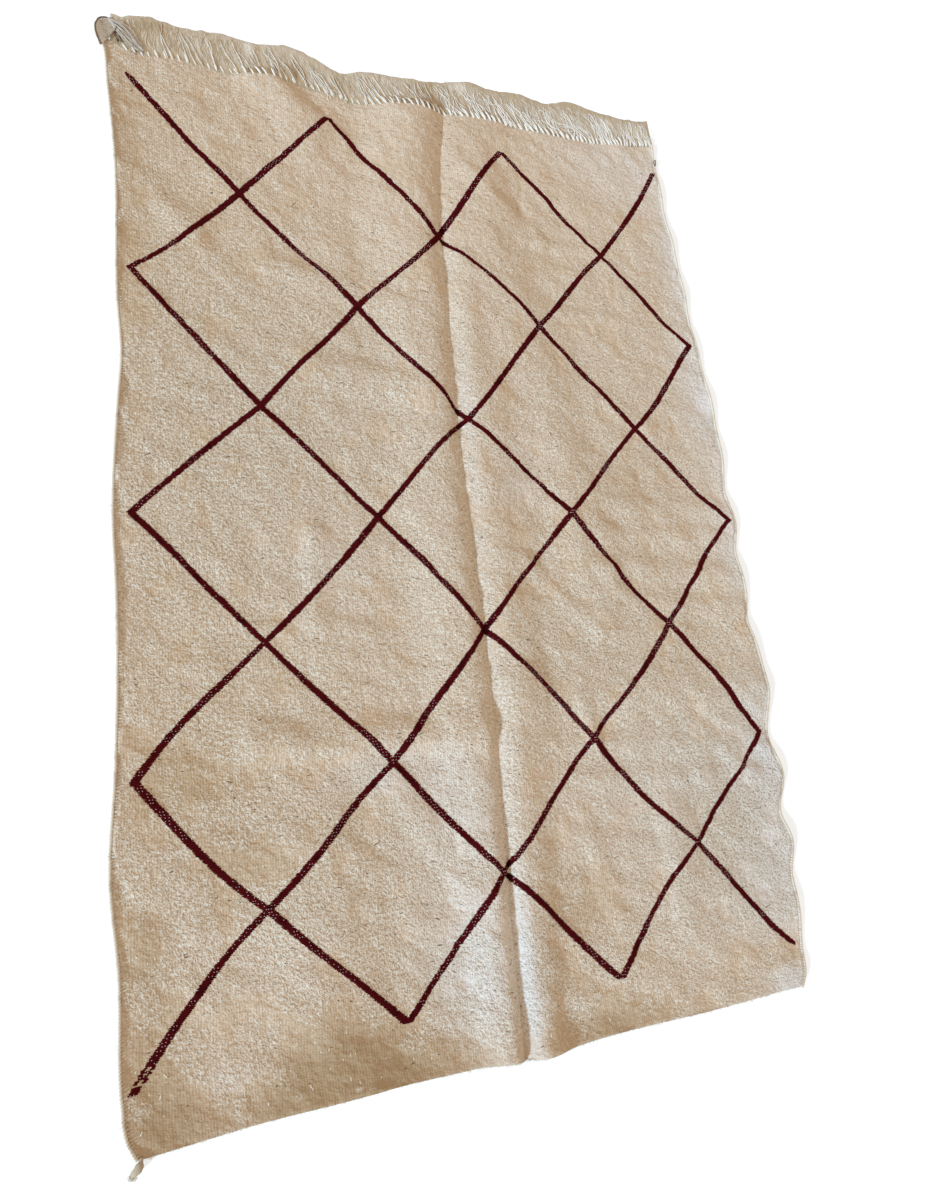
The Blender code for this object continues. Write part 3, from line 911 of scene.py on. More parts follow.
def dot_places(floats, rng):
    """Where the ground's yarn shows between the floats: two staggered rows of
    dots along the line's middle, with some left out."""
    pick = np.round(floats[:, 1] / PICK).astype(int)
    every = floats[(pick % DOT_EVERY == 0) & (floats[:, 2] > LINE_HALF_WIDTH / 2)]
    stagger = 0.5 * DOT_STEP * ((np.round(every[:, 1] / PICK / DOT_EVERY) % 2) * 2 - 1)
    x = np.concatenate([every[:, 0] + stagger - DOT_STEP, every[:, 0] + stagger + DOT_STEP])
    y = np.tile(every[:, 1], 2)
    keep = is_dotted(x, y) & (rng.uniform(size=len(x)) < DOT_SHARE)
    return x[keep] + rng.normal(0, DOT_STRAY, keep.sum()), y[keep]


def rim_path(side, spacing):
    """The middle of the cord along one long edge, in even steps along the rug:
    beside the cloth's rim, square to it, and resting as the cloth does."""
    t = shares(int(CORD_LENGTH / spacing))
    x, y = lie(np.full_like(t, (side + 1) / 2), t)
    swerve = np.gradient(x, y)
    out = side * (CORD_RADIUS + PIECE_GAP) / np.hypot(1, swerve)
    return xyz(x + out, y - out * swerve, lift(x, y) + CORD_RADIUS)


WRAP_PITCH = 0.0062
WRAP_DEPTH = 0.16
CORD_SIDES = 8
CORD_STEP = 0.0014
STITCH_OUT = 0.75 * CORD_RADIUS
STITCH_RADIUS = 0.0010
STITCH_STRAY = 0.0012
STITCH_BITE = 0.0014
STITCH_LANDS = 0.62


def selvedge_shape(side, rng):
    """A cord whose radius swells and narrows as a slanting wrap goes round it,
    and the stitches that hold it: short arcs from over the cord into the cloth."""
    path = rim_path(side, CORD_STEP)
    along = np.concatenate([[0], np.cumsum(np.linalg.norm(np.diff(path, axis=0), axis=1))])
    angle = around(CORD_SIDES)
    wrap = np.abs(np.sin(math.pi * along[:, None] / WRAP_PITCH + angle / 2))
    wander = 1 + 0.06 * soft_noise(along, along * 0, 0.012, 41)[:, None]
    radii = CORD_RADIUS * (1 - WRAP_DEPTH + WRAP_DEPTH * wrap) * wander
    path[:, 2] += 0.0003 * soft_noise(along, along * 0 + 3, 0.03, 42)
    cord = tubes(path[None], radii[None], CORD_SIDES)
    step = np.arange(WRAP_PITCH, along[-1] - WRAP_PITCH, WRAP_PITCH)
    step = step + rng.uniform(-STITCH_STRAY, STITCH_STRAY, len(step))
    x, y, z = (np.interp(step, along, part)[:, None] for part in path.T)
    reach = rng.uniform(0.0030, 0.0055, (len(step), 1))
    u = shares(7)
    x = x + side * (STITCH_OUT - (STITCH_OUT + CORD_RADIUS + reach) * u)
    y = y + 0.0022 * u - 0.001
    over = z + CORD_RADIUS * (0.75 + 0.35 * np.sin(math.pi * np.minimum(u * 1.3, 1)))
    height = np.where(u > STITCH_LANDS, np.minimum(over, cloth_top(x, y) + PIECE_GAP), over)
    height[:, -1] -= STITCH_BITE
    return joined(cord, tubes(xyz(x, y, height), STITCH_RADIUS, 5))


FUZZ_RADIUS = 0.00035
FUZZ_TURN = 0.9
FUZZ_BEND = 0.8
FUZZ_RISE = 0.003


def rim_fuzz(count, rng):
    """Short stray fibres that stand out of the cords and of the lower end: each a
    thin curved line from the rim outwards, sinking towards the floor."""
    x, y = lie(shares(RIM_STEPS), 0.0)
    lower = xyz(x, y, lift(x, y) + CLOTH_THICK / 2)
    rims = ((rim_path(-1, 0.004), 180), (rim_path(1, 0.004), 0), (lower, -90))
    roots = np.concatenate([rim[rng.integers(0, len(rim), count // 3)] for rim, _ in rims])
    outward = np.repeat(np.radians([facing for _, facing in rims]), count // 3)
    heading = outward + rng.normal(0, FUZZ_TURN, len(roots))
    length = rng.uniform(0.004, 0.010, (len(roots), 1))
    u = shares(5)
    angle = heading[:, None] + rng.normal(0, FUZZ_BEND, (len(roots), 1)) * u
    x, y, z = roots.T[..., None]
    z = z * (1 - 0.6 * u**2) + rng.uniform(0, FUZZ_RISE, (len(roots), 1)) * u
    path = xyz(x + np.cos(angle) * length * u, y + np.sin(angle) * length * u, z)
    return tubes(path, FUZZ_RADIUS * np.linspace(1.2, 0.6, 5), 3)


# --- Yarn ends: the fringe, the corner ear and tail, and stray wool ---------

STRAND_POINTS = 16
STRAND_SIDES = 5
BUNDLES = 94
FRINGE_START = -0.772
FRINGE_STOP = 0.738


def rim_at(x):
    """The cloth's upper rim at each place across the rug."""
    across, along = lie(shares(RIM_STEPS), 1.0)
    return np.interp(x, across, along)


def waving(times, share, phase):
    """A sine that waves this many times along a yarn."""
    return np.sin(2 * math.pi * times * share + phase)


def loose_strands(
    start, heading, length, rng, points=STRAND_POINTS, wave=0.4, curl=0.6, rise=0.004, sweep=0.0
):
    """Wavy yarn ends lying on the floor. Each one's heading turns as two sines
    along it and sweeps round towards its tip, its steps add up to its way, and
    its height falls from its root's to the floor with a slow ripple."""
    count = len(length)
    s = shares(points)
    phase = rng.uniform(0, 2 * math.pi, (3, count, 1))
    turn = wave * rng.uniform(0.4, 1.3, (count, 1)) * waving(1.1, s, phase[0])
    turn = turn + curl * rng.uniform(0.3, 1.2, (count, 1)) * waving(2.6, s, phase[1]) * s
    angle = heading[:, None] + turn + np.broadcast_to(sweep, count)[:, None] * s**1.5
    step = length[:, None] / (points - 1)
    x, y = (
        start[:, axis, None] + np.cumsum(part(angle) * step, axis=1) - part(angle[:, :1]) * step
        for axis, part in ((0, np.cos), (1, np.sin))
    )
    stack = rise * rng.uniform(0.1, 1, (count, 1)) * (0.6 + 0.4 * waving(1.7, s, phase[2]))
    ease = within(s * 6) * np.clip((1 - s) * 3, 0.25, 1)
    return xyz(x, y, start[:, 2, None] * within(1 - s * 2.2) ** 2 + stack * ease)


def tapered(radius, tip, points=STRAND_POINTS):
    """Radii along cords that thin down to a share of their radius at their tips."""
    return radius * np.linspace(1, tip, points)


def above_cloth(paths, gap):
    """The same paths, lifted where they would run into the cloth or the floor."""
    x, y = paths[..., 0], paths[..., 1]
    on_cloth = (y < rim_at(x)) & (x > smooth_line(LEFT_EDGE, y))
    paths[..., 2] = np.maximum(paths[..., 2], np.where(on_cloth, cloth_top(x, y), 0) + gap)
    return paths


# How far up the rug's length the fringe's tips reach, at places across it.
FRINGE_TIPS = table(
    MARK,
    (-0.78, 1.19), (-0.73, 1.205), (-0.65, 1.197), (-0.54, 1.207), (-0.48, 1.202), (-0.37, 1.216),
    (-0.3, 1.195), (-0.25, 1.172), (-0.19, 1.188), (-0.05, 1.206), (0.03, 1.213), (0.09, 1.232),
    (0.15, 1.244), (0.2, 1.233), (0.3, 1.244), (0.39, 1.232), (0.46, 1.258), (0.55, 1.248),
    (0.7, 1.247), (0.76, 1.258),
)

# How far the ends' tips turn to the left, in radians, at places across the rug.
FRINGE_SWEEP = table(
    MARK,
    (-0.78, 0.1), (-0.45, 0.3), (-0.37, 1.2), (-0.3, 0.6), (-0.1, 0.4), (0.1, 0.1), (0.3, 0.2),
    (0.43, 0.6), (0.5, 1.5), (0.56, 0.6), (0.68, 0.05), (0.76, 0.0),
)

WHIP_LENGTH = 0.027
WHIP_LEAN = -0.0125
WHIP_RADIUS = 0.0030
WHIP_SIDES = 7
WHIP_WRAPS = 4.5
WHIP_TUCK = 0.0045
WHIP_OFF = 0.0035
CROWDED_FROM = 0.45
UPRIGHT_FROM = 0.60


def bundle_roots(rng):
    """Where each bundle of warp ends leaves the cloth, and how far it leans:
    spaced with a little wander, closer and more upright near the right end."""
    places = np.linspace(FRINGE_START, FRINGE_STOP, 200)
    crowd = 1 + 0.5 * within((places - CROWDED_FROM) / 0.15)
    turn = np.cumsum(crowd) - crowd[0]
    x = np.interp(np.linspace(0, turn[-1], BUNDLES), turn, places) + rng.uniform(-0.002, 0.002, BUNDLES)
    upright = within((x - UPRIGHT_FROM) / 0.08)
    return x, rim_at(x), WHIP_LEAN * rng.uniform(0.6, 1.35, BUNDLES) * (1 - 0.8 * upright)


def whip_shape(x, y, lean, rng):
    """The wrapped root of each bundle: a short cord that starts in the cloth,
    swells, and narrows where the loose ends leave it."""
    u = shares(9)
    x, y, lean = x[:, None], y[:, None], lean[:, None]
    length = WHIP_LENGTH * rng.uniform(0.70, 1.1, x.shape)
    along = y - WHIP_TUCK + length * u
    across = x + WHIP_OFF + lean * u
    top = cloth_top(across, np.minimum(along, y - MM)) - PIECE_GAP
    path = xyz(across, along, top + 0.0016 * np.sin(math.pi * u) - 0.0022 * u**2)
    swell = 0.35 + 0.65 * np.sin(math.pi * within(0.12 + 0.75 * u))
    wraps = 1 + 0.10 * waving(WHIP_WRAPS, u, 0)
    plump = 0.85 + 0.35 * within((x + 0.10) / 0.20)
    size = WHIP_RADIUS * plump * rng.uniform(0.80, 1.10, x.shape)
    return tubes(path, size * swell * wraps, WHIP_SIDES), path[:, -1]


def rightness(x):
    """From 0 over the left half of the fringe to 1 over its right half."""
    return within((x + 0.05) / 0.15)


MAT_COLUMNS = 441
MAT_ROWS = 27
MAT_START = -0.806
MAT_STOP = 0.752
MAT_TUCK = 0.006
MAT_THICK = 0.0034
MAT_ROUND = 0.026
MAT_LIFT = 0.0002
MAT_RUFFLE = 0.28
MAT_WAVER = 0.003


def mat_height(x, y):
    """The matted hair's under and upper face at each place: falling from the rim's
    height to the floor, ruffled by soft lumps longer than they are wide, and
    rounding off at its ends and its tips."""
    foot = rim_at(x) - MAT_TUCK
    share = within((y - foot) / (smooth_line(FRINGE_TIPS, x) - foot))
    under = lift(x, foot) * (1 - share) ** 2 + MAT_LIFT
    ends = within(np.minimum(x - MAT_START, MAT_STOP - x) / MAT_ROUND)
    edge = np.sqrt(ends * within((1 - share) * 6))
    ruffle = soft_noise(x, y * 0.35, 0.008, 55) + 0.8 * soft_noise(x, y * 0.6, 0.025, 56)
    thick = MAT_THICK * (0.15 + 0.85 * edge) * (0.3 + 0.7 * within(share * 8))
    return under, under + 0.0004 + thick * (1 + MAT_RUFFLE * ruffle)


def mat_shape():
    """The finest hair, matted under the loose ends: a closed sheet from under the
    cloth's rim out to a wavering edge at the tips."""
    u, v = np.meshgrid(shares(MAT_COLUMNS), shares(MAT_ROWS))
    v = 1 - (1 - v) ** 1.3
    x = MAT_START + (MAT_STOP - MAT_START) * u
    foot = rim_at(x) - MAT_TUCK
    y = foot + (smooth_line(FRINGE_TIPS, x) - foot) * v
    y = y + MAT_WAVER * v * soft_noise(x, y * 0, 0.017, 54)
    under, over = mat_height(x, y)
    points = np.concatenate([xyz(x, y, over).reshape(-1, 3), xyz(x, y, under).reshape(-1, 3)])
    quads = grid_faces(MAT_ROWS, MAT_COLUMNS)
    rim = rim_loop(np.arange(x.size).reshape(x.shape))
    return points, [quads, quads[:, ::-1] + x.size, band(rim + x.size, rim)]


# Where the hair is darker (under 0), from soiling and, at the crease and below
# the ear, as painted shade, or whiter (over 0) than the rest, in the first column of amounts.
HAIR_PATCHES = table(
    PATCH,
    (-0.785, 1.125, 0.014, 0.022, -1.2), (-0.71, 1.18, 0.035, 0.02, -0.6),
    (-0.61, 1.15, 0.03, 0.02, 0.15), (-0.48, 1.18, 0.01, 0.03, 0.6),
    (-0.36, 1.14, 0.02, 0.02, -0.4), (-0.245, 1.13, 0.015, 0.03, -0.5),
    (0.0, 1.15, 0.045, 0.05, -0.3), (0.105, 1.215, 0.03, 0.025, 0.7),
    (0.27, 1.18, 0.02, 0.02, 0.4), (0.31, 1.19, 0.015, 0.015, -0.4),
    (0.59, 1.2, 0.014, 0.022, 1.0), (0.7, 1.2, 0.03, 0.03, 0.3),
)
MAT_LIGHT = 0.30
MAT_SHADE = 0.60
SHADE_REACH = 0.012
TWISTS_PER_BUNDLE = 3
TWIST_THIN = 0.0010
TWIST_THICK = 0.0017
STRAND_THIN = 0.0006
STRAND_THICK = 0.0009
STRAND_SPREAD = 0.17


def on_mat(paths, radius, clear=0.5):
    """The same paths, lifted where they would run into the mat."""
    over = mat_height(paths[..., 0], paths[..., 1])[1]
    paths[..., 2] = np.maximum(paths[..., 2], over + clear * radius)
    return above_cloth(paths, radius)


# How much of the twists shows at places across the rug: few at the left.
TWIST_SHARE = table(
    MARK,
    (-0.78, 0.03), (-0.7, 0.12), (-0.6, 0.36), (-0.3, 0.45), (-0.06, 0.5), (0.06, 0.85),
    (0.3, 0.95), (0.76, 0.95),
)


# The loose ends gather in tufts, but not at the left, where they lie straight.
TUFT_SPACING = 0.083
TUFT_LEAN = 0.60
TUFT_LIGHT = 0.35
STRAIGHT = 0.35


def fringe_twists(x, y, lean, rng):
    """The thicker, paler twists among the loose ends: each leaves the rim under
    its wrapped root and lies over the mat towards the tips, straighter at the
    left than at the right. Gives the shape and how pale each one is."""
    x, y, lean = (np.repeat(part, TWISTS_PER_BUNDLE) for part in (x, y, lean))
    count = len(x)
    x = x + rng.uniform(-1, 1, count) * 0.0030 + WHIP_OFF
    start = xyz(x, y - 0.002, cloth_top(x, rim_at(x) - 0.002))
    shown = rng.uniform(size=count) < smooth_line(TWIST_SHARE, x)
    loose = STRAIGHT + (1 - STRAIGHT) * rightness(x)
    tuft = 2 * np.pi * x / TUFT_SPACING
    heading = np.pi / 2 - lean / WHIP_LENGTH * 0.9 + rng.normal(0, 0.15, count) * loose
    heading = heading + TUFT_LEAN * (loose - STRAIGHT) * np.sin(tuft)
    length = (smooth_line(FRINGE_TIPS, x) - start[:, 1]) * rng.uniform(0.62, 1.02, count)
    sweep = (smooth_line(FRINGE_SWEEP, x) - 0.25 + rng.normal(0, 0.35, count)) * loose
    bend = loose[:, None]
    paths = loose_strands(start, heading, length, rng, wave=0.42 * bend, curl=0.60 * bend, sweep=sweep)
    radius = tapered(rng.uniform(TWIST_THIN, TWIST_THICK, (count, 1)), 0.60)
    paths = on_mat(paths, radius, 1.3)
    light = rng.normal(0.62 + 0.40 * loose, 0.15) + TUFT_LIGHT * (loose - STRAIGHT) * np.cos(tuft)
    return lit_strands(paths[shown], radius[shown], np.clip(light[shown], 0, 1.2))


def lit_strands(paths, radius, light):
    """Strands along paths, and how pale each is, at all its points."""
    return tubes(paths, radius, STRAND_SIDES), np.repeat(light, STRAND_POINTS * STRAND_SIDES)


def fringe_strands(ends, lean, per_bundle, rng):
    """The loose ends beyond each root, fanned out around its lean and reaching
    about as far as the mat, and how pale each is: duller towards the left."""
    count = len(ends) * per_bundle
    start = np.repeat(ends, per_bundle, axis=0)
    start = start + rng.uniform(-1, 1, (count, 3)) * [0.0045, 0.0015, 0.0006]
    base = np.pi / 2 - np.repeat(lean, per_bundle) / WHIP_LENGTH * 0.5
    heading = base + rng.normal(0, STRAND_SPREAD, count)
    x, y = start[:, 0], start[:, 1]
    length = (smooth_line(FRINGE_TIPS, x) - y) * rng.uniform(0.75, 1.05, count)
    sweep = smooth_line(FRINGE_SWEEP, x)
    paths = loose_strands(start, heading, length, rng, curl=0.7, sweep=sweep)
    thick = STRAND_THIN + (STRAND_THICK - STRAND_THIN) * rng.uniform(0, 1, (count, 1))
    radius = tapered(thick, 0.55)
    light = within(rng.normal(0.28 + 0.22 * np.clip(x / 0.5, -1, 1), 0.26))
    return lit_strands(on_mat(paths, radius), radius, light)


# Some ends near the left are folded forward over the weave.
FOLDED_COUNT = 26
FOLDED_FROM = -0.335
FOLDED_TO = -0.250
FOLDED_HEADING = 5
FOLDED_SWEEP = -1.3
FOLDED_LIGHT = 0.9


def folded_strands(rng):
    """Loose ends that start at the rim and lie forward over the cloth."""
    x = rng.uniform(FOLDED_FROM, FOLDED_TO, FOLDED_COUNT)
    start = xyz(x, rim_at(x) + 0.012, cloth_top(x, rim_at(x)) + 0.002)
    heading = np.radians(FOLDED_HEADING) + rng.normal(0, 0.22, FOLDED_COUNT)
    length = rng.uniform(0.035, 0.065, FOLDED_COUNT)
    paths = loose_strands(start, heading, length, rng, sweep=FOLDED_SWEEP)
    radius = tapered(rng.uniform(0.0009, 0.0014, (FOLDED_COUNT, 1)), 0.6)
    return lit_strands(above_cloth(paths, radius), radius, np.full(FOLDED_COUNT, FOLDED_LIGHT))


def hair_material(name, colours):
    """Loose hair: dull to pale by the number stored at its points, with finer
    and coarser streaks along the rug."""
    hair = Shading(name, 0.15)
    x, y = hair.parts(hair.place())
    light = hair.attribute("light")
    streak = hair.noise(hair.vector(x + y * 0.15, y * 0.12), HAIR_STREAKS, roughness=0.6)
    clump = hair.noise(hair.vector(x, y * 0.5), HAIR_CLUMPS)
    base = hair.mixed(colours.under, colours.fringe, light + (streak - 0.5) * 1.6)
    # Olive where the paleness is low: soiling, and painted shade where the patches and the rim darken it.
    base = hair.mixed(base, colours.olive, clump.over(0.52, 0.70) * 0.5 - light)
    hair.colour(base)
    hair.bump(streak, 1.2 * MM)
    return hair.material


def count_property(name, description, default, most, least=0):
    """A number of things that the sidebar shows."""
    return bpy.props.IntProperty(
        name=name, description=description, subtype="UNSIGNED", default=default, min=least, max=most
    )


def colour_property(name, description, default):
    """A colour that the sidebar shows."""
    return bpy.props.FloatVectorProperty(
        name=name, description=description, subtype="COLOR", size=3, min=0, max=1, default=default
    )


class KilimSizes(bpy.types.PropertyGroup):
    """How much wool stands out, and how wide the floor is."""

    strands_per_bundle: count_property("Strands in a bundle", "Loose ends beyond each fringe root", 6, 12, 1)
    slub_count: count_property("Slubs", "Pale lumps of thicker yarn on the surface", 4200, 8000)
    fleck_count: count_property("Flecks", "Dark fibres caught in the cream wool", 1150, 3000)
    fuzz_count: count_property("Fuzz", "Stray fibres along the rims", 2400, 6000, 3)
    floor_size: bpy.props.FloatProperty(
        name="Floor", description="Width of the pale floor", default=14.0, min=4.0, unit="LENGTH"
    )


class KilimColours(bpy.types.PropertyGroup):
    """The colours of the wool and the floor."""

    cream: colour_property("Cream", "The ground weave", (0.78, 0.597, 0.425))
    pale: colour_property("Pale", "Thicker, whiter yarn in the weave", (0.90, 0.84, 0.72))
    tan: colour_property("Tan", "The warmer places of the weave", (0.67, 0.49, 0.31))
    # Partly wear, partly painted shade where the cloth turns from the lamp.
    worn: colour_property("Worn", "The darker places, worn flat", (0.42, 0.29, 0.155))
    shade: colour_property("Shade", "Between the ribs", (0.46, 0.35, 0.24))
    # Painted light: laid on the slopes and rims that face the lamp.
    painted_light: colour_property("Cool", "The paler, cooler places of the weave", (0.92, 0.90, 0.90))
    maroon: colour_property("Maroon", "The lattice's floats", (0.074, 0.0045, 0.0062))
    fringe: colour_property("Fringe", "The palest loose warp ends", (0.96, 0.91, 0.82))
    under: colour_property("Dull fringe", "The dullest loose warp ends", (0.62, 0.50, 0.34))
    # Also carries painted shade where the hair's paleness number is low.
    olive: colour_property("Olive", "The soiled parts of the fringe", (0.42, 0.34, 0.22))
    whip: colour_property("Whips", "The wrapped roots of the fringe", (0.92, 0.87, 0.77))
    fleck: colour_property("Flecks", "Dark fibres in the cream", (0.10, 0.055, 0.035))
    floor: colour_property("Floor", "The floor under the rug", (0.88, 0.88, 0.88))


class RUG_OT_weave(bpy.types.Operator):
    """Makes the woven cloth, lying in its folds"""

    bl_idname = "rug.weave"
    bl_label = "Woven cloth"

    def execute(self, context):
        shape = sheet_shape()
        x, y = shape[0].T[:2]
        # The patch numbers carry painted light, painted shade and painted glints as well as the wool's own
        # colour, wear and fleece.
        add_piece(
            "woven_cloth", shape, weave_material(context.scene.kilim_colours), "cream_weave", ["field"],
            tone=patched(x, y, "warmth"), worn=within(patched(x, y, "worn")),
            fleecy=patched(x, y, "warmth", FLEECE_AND_GLINT),
        )
        return {"FINISHED"}


class RUG_OT_lattice(bpy.types.Operator):
    """Makes the lattice of dark floats, and the cream that shows through it"""

    bl_idname = "rug.lattice"
    bl_label = "Lattice"

    def execute(self, context):
        colours = context.scene.kilim_colours
        dark = yarn_material(
            "maroon_wool", colours.maroon, (0.15, 0.008, 0.012), (0.024, 0.002, 0.003), specular=0.025
        )
        light = yarn_material("lattice_ground", (0.66, 0.54, 0.49), (0.88, 0.80, 0.74), (0.38, 0.22, 0.20))
        rng = np.random.default_rng(32)
        dots = []
        for leaning in ("falling", "rising"):
            floats = lattice_floats(leaning, rng)
            dots.append(dot_places(floats, rng))
            add_piece("lattice_" + leaning, float_shape(floats, rng), dark, "lattice_yarn")
        x, y = np.concatenate(dots, axis=1)
        dots = domes(x, y, DOT_HALF_WIDE, DOT_HALF_LONG, DOT_HEIGHT, sides=5)
        add_piece("lattice_dots", dots, light, "cream_weave")
        add_piece("rim_thread", tubes(thread_loop()[None], THREAD_RADIUS, 6), dark, "lattice_yarn")
        return {"FINISHED"}


# Half lengths: the count of equal random parts that make one up, the mean of
# a part, and the least length.
SLUB_LENGTH, FLECK_LENGTH = table(
    "parts part least", (3.0, 0.0007, 0.0008), (2.0, 0.0012, 0.0010)
)
SLUB_HALF_WIDE = 0.0011
FLECK_HEIGHT = 0.0005


def scattered(count, length, rng):
    """Random places all over the cloth, each with a half length whose spread is
    a gamma curve."""
    x, y = lie(*rng.uniform(0.01, 0.99, (2, count)))
    return x, y, rng.gamma(length.parts, length.part, count) + length.least


class RUG_OT_loose_wool(bpy.types.Operator):
    """Makes the pale slubs and dark flecks that stand out of the weave"""

    bl_idname = "rug.loose_wool"
    bl_label = "Slubs and flecks"

    def execute(self, context):
        colours = context.scene.kilim_colours
        sizes = context.scene.kilim_sizes
        rng = np.random.default_rng(61)
        pale = yarn_material("slub_wool", colours.pale, (0.96, 0.93, 0.86), colours.cream)
        dark = yarn_material("fleck_wool", colours.fleck, (0.2, 0.12, 0.08), (0.03, 0.02, 0.015))
        x, y, long = scattered(sizes.slub_count, SLUB_LENGTH, rng)
        wide = SLUB_HALF_WIDE * rng.uniform(0.7, 1.4, len(x))
        high = rng.uniform(0.0004, 0.0010, len(x))
        add_piece("slubs", domes(x, y, wide, long, high, rng.normal(0, 0.5, len(x))), pale, "cream_weave")
        x, y, long = scattered(sizes.fleck_count, FLECK_LENGTH, rng)
        wide = rng.uniform(0.0005, 0.0010, len(x))
        turn = rng.normal(0, 0.35, len(x))
        add_piece("flecks", domes(x, y, long, wide, FLECK_HEIGHT, turn), dark, "cream_weave")
        return {"FINISHED"}


class RUG_OT_selvedges(bpy.types.Operator):
    """Makes the overcast cord along each long edge"""

    bl_idname = "rug.selvedges"
    bl_label = "Selvedges"

    def execute(self, context):
        wool = yarn_material("selvedge_wool", (0.84, 0.74, 0.60), (0.95, 0.91, 0.84), (0.58, 0.47, 0.36))
        rng = np.random.default_rng(43)
        for name, side in (("selvedge_left", -1), ("selvedge_right", 1)):
            add_piece(name + "_overcast", selvedge_shape(side, rng), wool, "selvedge_cord", [name])
        add_piece("rim_fuzz", rim_fuzz(context.scene.kilim_sizes.fuzz_count, rng), wool, "selvedge_cord")
        return {"FINISHED"}


class RUG_OT_fringe(bpy.types.Operator):
    """Makes the wrapped roots of the fringe and the loose warp ends beyond them"""

    bl_idname = "rug.fringe"
    bl_label = "Fringe"

    def execute(self, context):
        colours = context.scene.kilim_colours
        rng = np.random.default_rng(52)
        x, y, lean = bundle_roots(rng)
        roots, ends = whip_shape(x, y, lean, rng)
        bright = yarn_material("whip_wool", colours.whip, (0.97, 0.95, 0.90), colours.tan)
        add_piece("fringe_roots", roots, bright, "fringe_yarn", ["fringe"])
        hair = hair_material("fringe_hair", colours)
        mat = mat_shape()
        across, along = mat[0].T[:2]
        # Painted shade: darker hair along the rim under the roots and over the right half, between the loose
        # ends.
        light = MAT_LIGHT + patched(across, along, "warmth", HAIR_PATCHES)
        light -= MAT_SHADE * np.exp(-(along - rim_at(across)) / SHADE_REACH)
        light -= MAT_SHADE * 0.5 * rightness(across)
        add_piece("fringe_mat", mat, hair, "fringe_yarn", light=light)
        loose, loose_light = fringe_strands(ends, lean, context.scene.kilim_sizes.strands_per_bundle, rng)
        twists, twists_light = fringe_twists(x, y, lean, rng)
        folded, folded_light = folded_strands(rng)
        strands = joined(loose, twists, folded)
        light = np.concatenate([loose_light, twists_light, folded_light])
        light = light + patched(*strands[0].T[:2], "warmth", HAIR_PATCHES)
        add_piece("fringe_strands", strands, hair, "fringe_yarn", light=light)
        return {"FINISHED"}


# The ear at the upper left corner: the corner's warp ends bent into a loop, and
# the dark thread bound round it, by how far along its outline.
BEND = "share x y"
EAR_OUTLINE = table(
    BEND,
    (0.0, -0.8275, 1.09), (0.22, -0.838, 1.126), (0.42, -0.8375, 1.15), (0.56, -0.829, 1.166),
    (0.68, -0.816, 1.171), (0.82, -0.802, 1.165), (1.0, -0.792, 1.149),
)
THREAD_END = table(BEND, (1.18, -0.796, 1.131), (1.4, -0.789, 1.108))
FRAYED_OUTER = table(
    BEND,
    (0.0, -0.814, 1.171), (0.35, -0.778, 1.163), (0.6, -0.757, 1.145), (0.8, -0.744, 1.121),
    (1.0, -0.728, 1.098),
)
FRAYED_INNER = table(
    BEND,
    (0.0, -0.8, 1.152), (0.35, -0.79, 1.13), (0.6, -0.778, 1.114), (0.8, -0.762, 1.103),
    (1.0, -0.742, 1.094),
)
EAR_LOOPS = 10
EAR_YARN = 0.0028
EAR_MIDDLE = (-0.812, 1.112)
EAR_SLOPE = 0.03
EAR_HEIGHT = 0.0075
THREAD_HEIGHT = 0.0098
FRAYED_COUNT = 26
FRAYED_HEIGHT = 0.006
FRAYED_CLEAR = 0.0012
FRAYED_HEADING = -50
PUFF_POINTS = 8
PUFF_RADIUS = 0.0006
PUFF_CURL = 1.2

# How the binding thread's radius changes along its way: a thin start, thick over
# the ear's top, a stitch where it crosses its start, thin, and a knot at its end.
THREAD_THIN = 0.0009
THREAD_SWELL = 0.0007
THREAD_KNOT = 0.0012
SWELL_FROM = 0.45
STITCH_AT = 1.03
STITCH_HALF = 0.04
THIN_FROM = 1.08
KNOT_FROM = 1.34

TAIL_LENGTH = 0.024
TAIL_RINGS = 40
TAIL_SIDES = 12
TAIL_WISPS = 40
TAIL_HEADING = -100
WISP_POINTS = 7
WISP_RADIUS = 0.0004
WISP_LEAST = 0.0006
TAIL = table(
    "share radius",
    (0.0, 0.0035), (0.22, 0.0039), (0.42, 0.0065), (0.6, 0.0072), (0.8, 0.0067), (1.0, 0.0048),
)


def bends(rows, share):
    """The points along a table of bends, at shares of its way."""
    return column_at(rows, "x", share), column_at(rows, "y", share)


def ear_loops():
    """Nested loops of yarn: the ear's outline, shrunk step by step towards its
    middle, and higher towards its top."""
    u = shares(28)
    x, y = bends(EAR_OUTLINE, u)
    scale = np.linspace(1.0, 0.10, EAR_LOOPS)[:, None]
    x = EAR_MIDDLE[0] + (x - EAR_MIDDLE[0]) * scale
    y = EAR_MIDDLE[1] + (y - EAR_MIDDLE[1]) * scale
    z = EAR_HEIGHT - EAR_SLOPE * (y - EAR_OUTLINE[0].y) + MM * np.sin(math.pi * u) * scale
    return xyz(x, y, z)


def thread_shape():
    """The thread that binds the ear, round its outline and back over its foot."""
    outline = EAR_OUTLINE + THREAD_END
    u = np.linspace(0, outline[-1].share, 60)
    x, y = bends(outline, u)
    z = THREAD_HEIGHT - EAR_SLOPE * (y - EAR_OUTLINE[0].y)
    swell = THREAD_SWELL * within((u - SWELL_FROM) * 4)
    thick = THREAD_THIN + swell + THREAD_KNOT * (np.abs(u - STITCH_AT) < STITCH_HALF)
    thick = thick * (1 - 0.5 * within((u - THIN_FROM) * 8)) + THREAD_KNOT * (u > KNOT_FROM)
    return tubes(xyz(x, y, z)[None], thick[None], 6)


